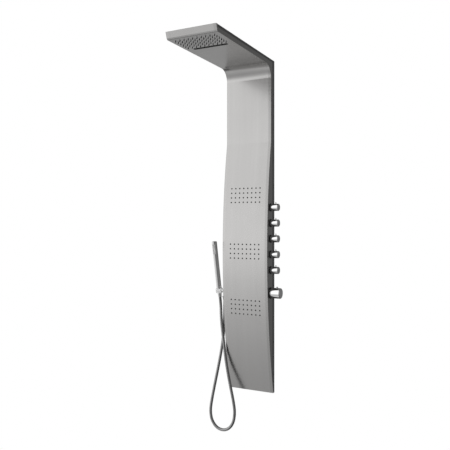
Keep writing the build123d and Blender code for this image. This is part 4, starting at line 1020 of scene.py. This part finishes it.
# ---------------------------------------------------------------- column
@dataclass
class ColumnShell:
    """The bent steel shell: the line of its front, its dark rear strips and its wall pads."""

    shop: FinishShop
    side: float = 110.0 * MM
    height: float = 1.5
    reach: float = 0.545
    curve_middle: tuple[float, float] = (-2751.96 * MM, 631.39 * MM)
    curve_radius: float = 2836.14 * MM
    curve_top: float = 1.130
    upright_depth: float = 40.0 * MM
    strip_width: float = 20.0 * MM
    strip_full_up: float = 60.0 * MM
    strip_thick: float = 0.5 * MM
    strip_wall_gap: float = 0.2 * MM
    strip_front_gap: float = 0.5 * MM
    strip_foot_gap: float = 1.0 * MM
    strip_head_gap: float = 2.0 * MM
    top_strip: float = 8.0 * MM
    knob_depth: float = 40.0 * MM
    temperature_up: float = 455.0 * MM
    temperature_clear: float = 26.4 * MM
    notch_steps: int = 12
    pad_ups: tuple[float, ...] = (0.12, 0.40, 0.68, 0.96, 1.24, 1.44)
    pad_x: tuple[float, float] = (108.3 * MM, 105.3 * MM)
    pad_d: tuple[float, float] = (3.0 * MM, 15.0 * MM)
    pad_half: float = 9.0 * MM
    pad_round: float = 1.0 * MM

    def front_depth(self, up: float) -> float:
        """Give how far the front face stands out from the wall.

        Args:
            up: Height above the foot.

        Returns:
            The distance from the wall.
        """
        if up >= self.curve_top:
            return self.upright_depth
        depth, middle = self.curve_middle
        return depth + math.sqrt(self.curve_radius ** 2 - (up - middle) ** 2)

    def front_normal(self, up: float) -> Vector:
        """Give the direction in which the front face looks.

        Args:
            up: Height above the foot.

        Returns:
            The direction.
        """
        if up >= self.curve_top:
            return Vector((0.0, -1.0, 0.0))
        tilt = math.asin((up - self.curve_middle[1]) / self.curve_radius)
        return Vector((0.0, -math.cos(tilt), math.sin(tilt)))

    def _strip_outline(self, x: float, notch: bool) -> list[Vector]:
        """Give the corners of a rear strip.

        Args:
            x: The side plate's face.
            notch: Whether to leave room for the temperature ring.

        Returns:
            The corners in order.
        """
        near, far = self.strip_wall_gap, self.strip_width
        foot, head = self.strip_foot_gap, self.height - self.strip_head_gap
        front = self.front_depth(0.0) - self.strip_front_gap
        places = [(near, foot), (front, foot), (far, self.strip_full_up)]
        if notch:
            half = math.acos((self.knob_depth - far) / self.temperature_clear)
            for step in range(self.notch_steps + 1):
                angle = half * (1.0 - 2 * step / self.notch_steps)
                places.append((self.knob_depth - self.temperature_clear * math.cos(angle),
                               self.temperature_up - self.temperature_clear * math.sin(angle)))
        inside = head - self.top_strip
        places += [(far, inside), (self.reach, inside), (self.reach, head), (near, head)]
        return [at(x, d, up) for d, up in places]

    def strips(self) -> None:
        """Lay a thin dark strip along each side plate's rear and top edges."""
        for name, sign in (("left", -1.0), ("right", 1.0)):
            outline = self._strip_outline(sign * self.side, notch=sign > 0)
            strip = slab(outline, Vector((sign * self.strip_thick, 0.0, 0.0)))
            strip.piece(f"{name}_rear_strip", self.shop, "strip_steel", Body.COLUMN)

    def pads(self) -> None:
        """Stick soft pads inside the rear edges, where the plates meet the wall."""
        pads = []
        for sign in (-1.0, 1.0):
            for up in self.pad_ups:
                low = at(sign * self.pad_x[0], self.pad_d[0], up - self.pad_half)
                high = at(sign * self.pad_x[1], self.pad_d[1], up + self.pad_half)
                pads.append(box_piece(low, high).softened(self.pad_round, segments=2))
        gathered(pads).piece("wall_edge_pads", self.shop, "seal_rubber", Body.COLUMN)

    def build(self) -> None:
        """Build the shell's trim."""
        self.strips()
        self.pads()


@dataclass
class RainHead:
    """The spray field and the waterfall slot under the arm."""

    shop: FinishShop
    underside_up: float = 1.472
    field_middle: float = 471.5 * MM
    rows: int = 6
    columns: int = 10
    pitch: float = 19.0 * MM
    shift: float = -4.0 * MM
    rim: Profile = in_mm((3.15, 0.02), (4.4, 0.02), (4.0, 0.45), (3.4, 0.5))
    tip: Profile = in_mm((2.25, 0.8), (2.25, 1.6), (1.75, 4.0), (1.35, 4.3), (0.8, 4.3), (0.8, 0.8))
    slot_d: float = 401.0 * MM
    slot_end: float = 70.0 * MM
    slot_border: tuple[float, float] = (7.6 * MM, 4.6 * MM)
    slot_steps: int = 32
    border_thick: float = 0.5 * MM
    skin: float = 0.02 * MM

    def places(self) -> list[tuple[Vector, Vector]]:
        """Give the middle of every hole on the sheet's lower face, and the way down."""
        return [(at(self.shift + x, self.field_middle + d, self.underside_up), DOWN)
                for d in spread(self.rows, self.pitch) for x in spread(self.columns, self.pitch)]

    def nozzles(self) -> None:
        """Put a small bright rim round every hole, and hang a soft tapered tip from it."""
        rims, tips = planted(self.rim, self.places()), planted(self.tip, self.places())
        rims.piece("rain_hole_rims", self.shop, "polished_chrome", Body.COLUMN, 60.0)
        tips.piece("rain_nozzle_tips", self.shop, "nozzle_silicone", Body.COLUMN, 60.0)

    def slot_frame(self) -> None:
        """Frame the waterfall slot with a thin rounded border."""
        work = Workpiece()
        rings = []
        for radius in self.slot_border:
            corners = []
            for step in range(self.slot_steps):
                angle = math.tau * (step + 0.5) / self.slot_steps
                x = math.copysign(self.slot_end, math.cos(angle)) + radius * math.cos(angle)
                d = self.slot_d + radius * math.sin(angle)
                corners.append(work.mesh.verts.new(at(x, d, self.underside_up - self.skin)))
            rings += [work.mesh.edges.new(pair) for pair in zip(corners[-1:] + corners[:-1], corners)]
        flat = bmesh.ops.bridge_loops(work.mesh, edges=rings)["faces"]
        bmesh.ops.solidify(work.mesh, geom=flat, thickness=self.border_thick)
        top = max(vert.co.z for vert in work.mesh.verts) - at(0, 0, self.underside_up).z
        bmesh.ops.translate(work.mesh, vec=DOWN * (top + self.skin), verts=work.mesh.verts)
        work.cleaned().piece("waterfall_slot_frame", self.shop, "lip_plastic", Body.COLUMN)

    def build(self) -> None:
        """Build the head's details."""
        self.nozzles()
        self.slot_frame()


@dataclass
class BodyJets:
    """The three groups of small spray holes in the front face."""

    shop: FinishShop
    shell: ColumnShell
    groups: tuple[float, ...] = (0.892, 0.640, 0.388)
    columns: int = 8
    rows: int = 4
    pitch_x: float = 20.0 * MM
    pitch_z: float = 21.0 * MM
    flange: Profile = in_mm((2.5, 0.02), (3.5, 0.02), (3.3, 0.22), (2.5, 0.3))

    def build(self) -> None:
        """Put a dark soft flange round every jet."""
        ups = [middle + rise for middle in self.groups for rise in spread(self.rows, self.pitch_z)]
        places = [(at(x, self.shell.front_depth(up), up), self.shell.front_normal(up))
                  for up in ups for x in spread(self.columns, self.pitch_x)]
        flanges = planted(self.flange, places)
        flanges.piece("body_jet_flanges", self.shop, "nozzle_silicone", Body.COLUMN, 60.0)


# ---------------------------------------------------------------- controls
@dataclass
class SideKnob:
    """What every control on the right side shares."""

    shop: FinishShop
    name: str
    up: float
    depth: float = 40.0 * MM
    base: float = 113.0 * MM
    end: float = 149.0 * MM
    radius: float = 16.0 * MM
    pin_x: float = 134.0 * MM

    def body(self) -> str:
        """Give the name of the body that turns."""
        return f"{self.name}_control"

    def disc(self, name: str, x: float, profile: Profile, steps: int) -> None:
        """Set a shallow turned disc in the knob's end.

        Args:
            name: The piece's name.
            x: Where its origin is.
            profile: Radius and height of its corners.
            steps: Faces round it.
        """
        disc = Workpiece().turned(profile, steps).moved(at(x, self.depth, self.up), TO_RIGHT)
        disc.piece(name, self.shop, "scale_chrome", self.body(), 60.0)

    def neck(self, name: str, ring: Workpiece, sink: float) -> None:
        """Put a collar on top of the knob, round its pin or button.

        Args:
            name: The piece's name.
            ring: The collar, standing on the XY plane.
            sink: How far its foot is sunk below the knob's top line.
        """
        ring.moved(at(self.pin_x, self.depth, self.up + self.radius - sink))
        ring.piece(name, self.shop, "polished_chrome", self.body())


@dataclass
class FlowKnob(SideKnob):
    """A flow control: end disc, a near-black band painted round the base as the shade of a groove, and pin
    collar.
    """

    face: Profile = in_mm((0.0, 0.02), (10.6, 0.02), (10.6, 0.25), (10.2, 0.4), (2.0, 0.3), (0.0, 0.3))
    groove_x: float = 2.4 * MM
    groove_width: float = 1.2 * MM
    groove_shade_skin: tuple[float, float] = (0.01 * MM, 0.12 * MM)

    def build(self) -> None:
        """Build the knob's details, which turn with it."""
        self.disc(f"{self.name}_knob_disc", self.end, self.face, 64)
        # No groove is cut: a thin near-black band round the knob's base is painted shade, standing in for
        # the shadow in the groove.
        inner, outer = self.groove_shade_skin
        groove = collar(self.radius + inner, self.radius + outer, self.groove_width)
        groove.moved(at(self.base + self.groove_x, self.depth, self.up), TO_RIGHT)
        groove.piece(f"{self.name}_knob_groove_painted_shade", self.shop, "print_and_groove_shade_ink", self.body(), 60.0)
        ring = collar(2.35 * MM, 3.4 * MM, 0.9 * MM, 32).softened(0.2 * MM, segments=2)
        self.neck(f"{self.name}_pin_collar", ring, 0.3 * MM)


class Numeral:
    """Plain numerals drawn with straight strokes."""

    STROKES = {"3": "abgcd", "8": "abcdefg", "4": "fgbc", "0": "abcdef", "2": "abged"}
    ENDS = {"a": (0, 2, 1, 2), "b": (1, 1, 1, 2), "c": (1, 0, 1, 1), "d": (0, 0, 1, 0),
            "e": (0, 0, 0, 1), "f": (0, 1, 0, 2), "g": (0, 1, 1, 1)}
    SLIMNESS = 0.9
    SPACING = 1.6

    @classmethod
    def strokes(cls, text: str, height: float) -> list[tuple[Vector, Vector]]:
        """Give the strokes of a number, centred on the origin in the XY plane.

        Args:
            text: The number.
            height: Its height.

        Returns:
            Both ends of each stroke.
        """
        step = height / 2
        wide = step * cls.SLIMNESS
        start = -(1 + (len(text) - 1) * cls.SPACING) * wide / 2
        lines = []
        for place, digit in enumerate(text):
            left = start + place * wide * cls.SPACING
            for name in cls.STROKES[digit]:
                x0, y0, x1, y1 = cls.ENDS[name]
                lines.append((Vector((left + x0 * wide, (y0 - 1) * step, 0.0)),
                              Vector((left + x1 * wide, (y1 - 1) * step, 0.0))))
        return lines


@dataclass
class TemperatureKnob(SideKnob):
    """The large thermostatic control with its scale, end disc and safety button."""

    name: str = "temperature"
    up: float = 455.0 * MM
    end: float = 159.0 * MM
    radius: float = 23.5 * MM
    pin_x: float = 140.0 * MM
    face: Profile = in_mm((0.0, -0.3), (17.6, -0.3), (17.6, -0.05), (17.2, -0.02),
                          (16.4, -0.06), (0.0, -0.06))
    face_out: float = 0.05 * MM
    turns: tuple[float, float] = (-126.0, 45.0)
    degrees_per_mark: float = 9.0
    marks_per_long: int = 5
    mark_x: float = 0.6 * MM
    mark_lengths: tuple[float, float] = (2.2 * MM, 1.3 * MM)
    mark_width: float = 0.45 * MM
    numerals: tuple[tuple[str, float], ...] = (("20", -90.0), ("30", -45.0), ("38", 0.0), ("40", 36.0))
    numeral_x: float = 4.3 * MM
    numeral_height: float = 2.2 * MM
    numeral_width: float = 0.35 * MM
    ink: tuple[float, float] = (0.05 * MM, 0.12 * MM)
    cap: Profile = in_mm((0.0, -0.2), (2.9, -0.2), (2.9, 0.15), (2.5, 0.4), (0.0, 0.5))
    cap_up: float = 28.5 * MM
    wire_r: float = 0.4 * MM
    coil_r: float = 2.8 * MM
    coil_height: float = 5.0 * MM
    coil_turns: int = 3
    coil_deep: float = 10.3 * MM

    def _on_rim(self, x: float, turn: float) -> tuple[Vector, Vector, Vector]:
        """Give a place on the scale ring.

        Args:
            x: How far to the right it is.
            turn: Degrees from the top towards the user.

        Returns:
            The place, its outward direction and the way round.
        """
        angle = math.radians(turn)
        out = Vector((0.0, -math.sin(angle), math.cos(angle)))
        way = Vector((0.0, -math.cos(angle), -math.sin(angle)))
        return at(x, self.depth, self.up) + out * self.radius, out, way

    def _stroke(self, first: Vector, last: Vector, out: Vector, width: float) -> Workpiece:
        """Draw one raised stroke on the scale ring.

        Args:
            first: One end.
            last: The other end.
            out: The outward direction.
            width: How wide it is.

        Returns:
            The stroke.
        """
        along = (last - first).normalized()
        beside = along.cross(out).normalized() * width / 2
        ends = (first - along * width / 2, last + along * width / 2)
        corners = [ends[0] - beside, ends[0] + beside, ends[1] + beside, ends[1] - beside]
        sunk, thick = self.ink
        return slab([corner - out * sunk for corner in corners], out * thick)

    def scale(self) -> None:
        """Draw the marks and numerals round the scale ring."""
        strokes = []
        turn, last = self.turns
        while turn <= last:
            long = round(turn / self.degrees_per_mark) % self.marks_per_long == 0
            place, out, _ = self._on_rim(self.base + self.mark_x, turn)
            tip = place + TO_RIGHT * self.mark_lengths[0 if long else 1]
            strokes.append(self._stroke(place, tip, out, self.mark_width))
            turn += self.degrees_per_mark
        for text, turn in self.numerals:
            place, out, way = self._on_rim(self.base + self.numeral_x, turn)
            for pair in Numeral.strokes(text, self.numeral_height):
                ends = [place + TO_RIGHT * point.y + way * point.x for point in pair]
                strokes.append(self._stroke(*ends, out, self.numeral_width))
        gathered(strokes).piece("temperature_marks", self.shop, "print_and_groove_shade_ink", self.body(), 60.0)

    def button(self) -> None:
        """Put a collar round the safety button and a cap on its end."""
        ring = collar(4.4 * MM, 6.0 * MM, 1.0 * MM, 40).softened(0.25 * MM, segments=2)
        self.neck("safety_button_collar", ring, 0.7 * MM)
        cap = Workpiece().turned(self.cap, 32).moved(at(self.pin_x, self.depth, self.up + self.cap_up))
        cap.piece("safety_button_cap", self.shop, "scale_chrome", Body.STOP, 60.0)

    def button_spring(self) -> None:
        """Coil the safety button's spring, which shortens as the button goes in."""
        steps = 24 * self.coil_turns
        rise = (self.coil_height - 2 * self.wire_r) / steps
        work = Workpiece()
        start = Matrix.Translation((self.coil_r, 0.0, self.wire_r)) @ Matrix.Rotation(math.pi / 2, 4, "X")
        wire = bmesh.ops.create_circle(work.mesh, segments=8, radius=self.wire_r, matrix=start)["verts"]
        edges = list({edge for vert in wire for edge in vert.link_edges})
        bmesh.ops.spin(work.mesh, geom=[*wire, *edges], cent=(0, 0, 0), axis=(0, 0, 1),
                       dvec=(0, 0, rise), angle=math.tau * self.coil_turns, steps=steps)
        open_edges = [edge for edge in work.mesh.edges if edge.is_boundary]
        bmesh.ops.holes_fill(work.mesh, edges=open_edges, sides=8)
        low = at(self.pin_x, self.depth, self.up + self.radius - self.coil_deep)
        coil = work.cleaned().moved(low).piece("safety_button_coil", self.shop, "screw_steel", None)
        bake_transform(coil)
        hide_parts("safety_button_spring")

    def build(self) -> None:
        """Build the knob's details."""
        self.scale()
        self.disc("temperature_end_disc", self.end + self.face_out, self.face, 96)
        self.button()
        self.button_spring()


# ---------------------------------------------------------------- hand shower
@dataclass
class HandShower:
    """The slim metal wand, its holder and the water outlet."""

    shop: FinishShop
    tilt: tuple[float, float] = (-0.21303, 0.97705)
    holder: Vector = field(default_factory=lambda: at(-0.140, 0.059, 0.455))
    barrel_r: float = 11.5 * MM
    bands: tuple[tuple[str, float, float], ...] = (
        ("wand_tail_band", 13.0 * MM, 2.2 * MM), ("wand_top_band", 226.5 * MM, 1.2 * MM),
    )
    band_skin: tuple[float, float] = (0.01 * MM, 0.35 * MM)
    cap: Profile = in_mm((0.0, 0.02), (8.6, 0.02), (8.6, 0.2), (8.2, 0.3), (0.0, 0.3))
    cap_place: float = 232.0 * MM
    window: tuple[float, float] = (173.5 * MM, 223.5 * MM)
    window_half: float = 7.4 * MM
    window_line: float = 0.9 * MM
    window_share: float = 0.88
    window_skin: float = 0.02 * MM
    window_rise: float = 0.22 * MM
    lips: tuple[tuple[float, float, float], ...] = (
        (12.35 * MM, 14.2 * MM, 9.02 * MM), (11.1 * MM, 13.4 * MM, -9.82 * MM),
    )
    lip_length: float = 0.8 * MM
    nut: Vector = field(default_factory=lambda: at(-0.126, 0.033, 0.4245))
    nut_r: float = 10.45 * MM
    ribs: int = 24
    rib_half: float = 0.5 * MM
    rib_length: float = 2.6 * MM
    rib_rise: float = 0.45 * MM

    def axis(self) -> Vector:
        """Give the direction from the hose nut to the wand's top."""
        return Vector((0.0, *self.tilt))

    def along(self, s: float) -> Vector:
        """Give the point on the wand's axis at a distance above the holder's middle."""
        return self.holder + self.axis() * s

    def wand(self) -> None:
        """Band the wand where its parts meet, and set a disc in its end."""
        inner, outer = self.band_skin
        for name, s, length in self.bands:
            band = collar(self.barrel_r + inner, self.barrel_r + outer, length, 72)
            band.softened(0.12 * MM, segments=2).moved(self.along(s), self.axis())
            band.piece(name, self.shop, "polished_chrome", Body.HANDSET)
        cap = Workpiece().turned(self.cap).moved(self.along(self.cap_place), self.axis())
        cap.piece("wand_cap_disc", self.shop, "scale_chrome", Body.HANDSET, 60.0)

    def _window_side(self, ends: tuple[float, float], sweep: tuple[float, float]) -> Workpiece:
        """Make one side of the spray window's frame, bent round the barrel.

        Args:
            ends: Where it starts and ends along the wand.
            sweep: Where it starts and ends across, as shares of half the window.

        Returns:
            The side.
        """
        out = Vector((0.0, -self.tilt[1], self.tilt[0]))
        work = Workpiece()
        rows = []
        for s in ends:
            for extra in (0.0, self.window_rise):
                row = []
                for step in range(9):
                    x = self.window_half * (sweep[0] + (sweep[1] - sweep[0]) * step / 8)
                    reach = math.sqrt(self.barrel_r ** 2 - x ** 2) + self.window_skin + extra
                    row.append(work.mesh.verts.new(self.along(s) + TO_RIGHT * x + out * reach))
                rows.append(row)
        edges = [work.mesh.edges.new(pair) for row in (rows[0], rows[1], rows[3], rows[2])
                 for pair in zip(row, row[1:])]
        bmesh.ops.bridge_loops(work.mesh, edges=edges, use_cyclic=True)
        ends_open = [edge for edge in work.mesh.edges if edge.is_boundary]
        bmesh.ops.holes_fill(work.mesh, edges=ends_open, sides=4)
        return work.cleaned()

    def spray_frame(self) -> None:
        """Frame the spray window with a thin bright line on the barrel."""
        low, high = self.window
        sides = (((low, low + self.window_line), (-1, 1)), ((high - self.window_line, high), (-1, 1)),
                 (self.window, (-1, -self.window_share)), (self.window, (self.window_share, 1)))
        frame = gathered(self._window_side(ends, sweep) for ends, sweep in sides)
        frame.piece("spray_window_frame", self.shop, "polished_chrome", Body.HANDSET)

    def holder_lips(self) -> None:
        """Line both mouths of the holder with a soft lip."""
        lips = []
        for inner, outer, s in self.lips:
            lip = collar(inner, outer, self.lip_length, 72).softened(0.25 * MM, segments=2)
            lips.append(lip.moved(self.along(s), self.axis()))
        # The lips take the holder's pale painted-reflection finish.
        gathered(lips).piece("holder_lips", self.shop, "holder_painted_reflection", Body.COLUMN)

    def outlet_grip(self) -> None:
        """Cut a grip of fine ribs round the outlet's hose nut."""
        ribs = []
        foot = DOWN * self.rib_length
        for turn in range(self.ribs):
            angle = math.tau * turn / self.ribs
            out = Vector((math.cos(angle), math.sin(angle), 0.0))
            middle = self.nut + out * self.nut_r
            beside = Vector((-out.y, out.x, 0.0)) * self.rib_half
            corners = [middle - beside, middle + beside, middle + beside + foot, middle - beside + foot]
            ribs.append(slab(corners, out * self.rib_rise))
        gathered(ribs).piece("outlet_nut_ribs", self.shop, "polished_chrome", Body.COLUMN)

    def build(self) -> None:
        """Build the hand shower's details."""
        self.wand()
        self.spray_frame()
        self.holder_lips()
        self.outlet_grip()


@dataclass
class Plumbing:
    """Marks on the two inlets behind the column."""

    shop: FinishShop
    inlets: tuple[tuple[str, float], ...] = (("cold", 16.0 * MM), ("hot", 50.0 * MM))
    depth: float = 28.0 * MM
    washer_up: float = 422.3 * MM
    washer: tuple[float, float, float] = (10.6 * MM, 12.6 * MM, 1.6 * MM)
    washer_round: float = 0.3 * MM

    def build(self) -> None:
        """Slide a coloured washer over each inlet's thread."""
        for name, x in self.inlets:
            washer = collar(*self.washer, 48).softened(self.washer_round, segments=2)
            washer.moved(at(x, self.depth, self.washer_up))
            washer.piece(f"{name}_inlet_washer", self.shop, f"{name}_ink", Body.COLUMN)


def main() -> None:
    """Build the model in order."""
    logging.basicConfig(level=logging.INFO, format="%(name)s: %(message)s")
    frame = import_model()
    bpy.context.view_layer.update()
    shop = FinishShop(frame)
    for part in frame["record"]["subparts"]:
        shop.dress(part["material_slot"], part["node"])
    shop.dress("wand_chrome", "wand_body", "wand_tail", "wand_end_cap", "handset_hose_nut")
    # The rings round the knob bases get the near-black finish as painted shade.
    shop.dress("knob_base_painted_shade", "knob_rings", "temperature_ring")
    # The chrome holder is given a pale diffuse finish as a painted reflection.
    shop.dress("holder_painted_reflection", "handset_holder")
    Studio().build()
    WoundHose(shop).build()
    shell = ColumnShell(shop)
    shell.build()
    RainHead(shop).build()
    BodyJets(shop, shell).build()
    for name, up in FLOW_KNOBS:
        FlowKnob(shop, name, up).build()
    TemperatureKnob(shop).build()
    HandShower(shop).build()
    Plumbing(shop).build()
    bpy.context.view_layer.update()


if __name__ == "__main__":
    main()
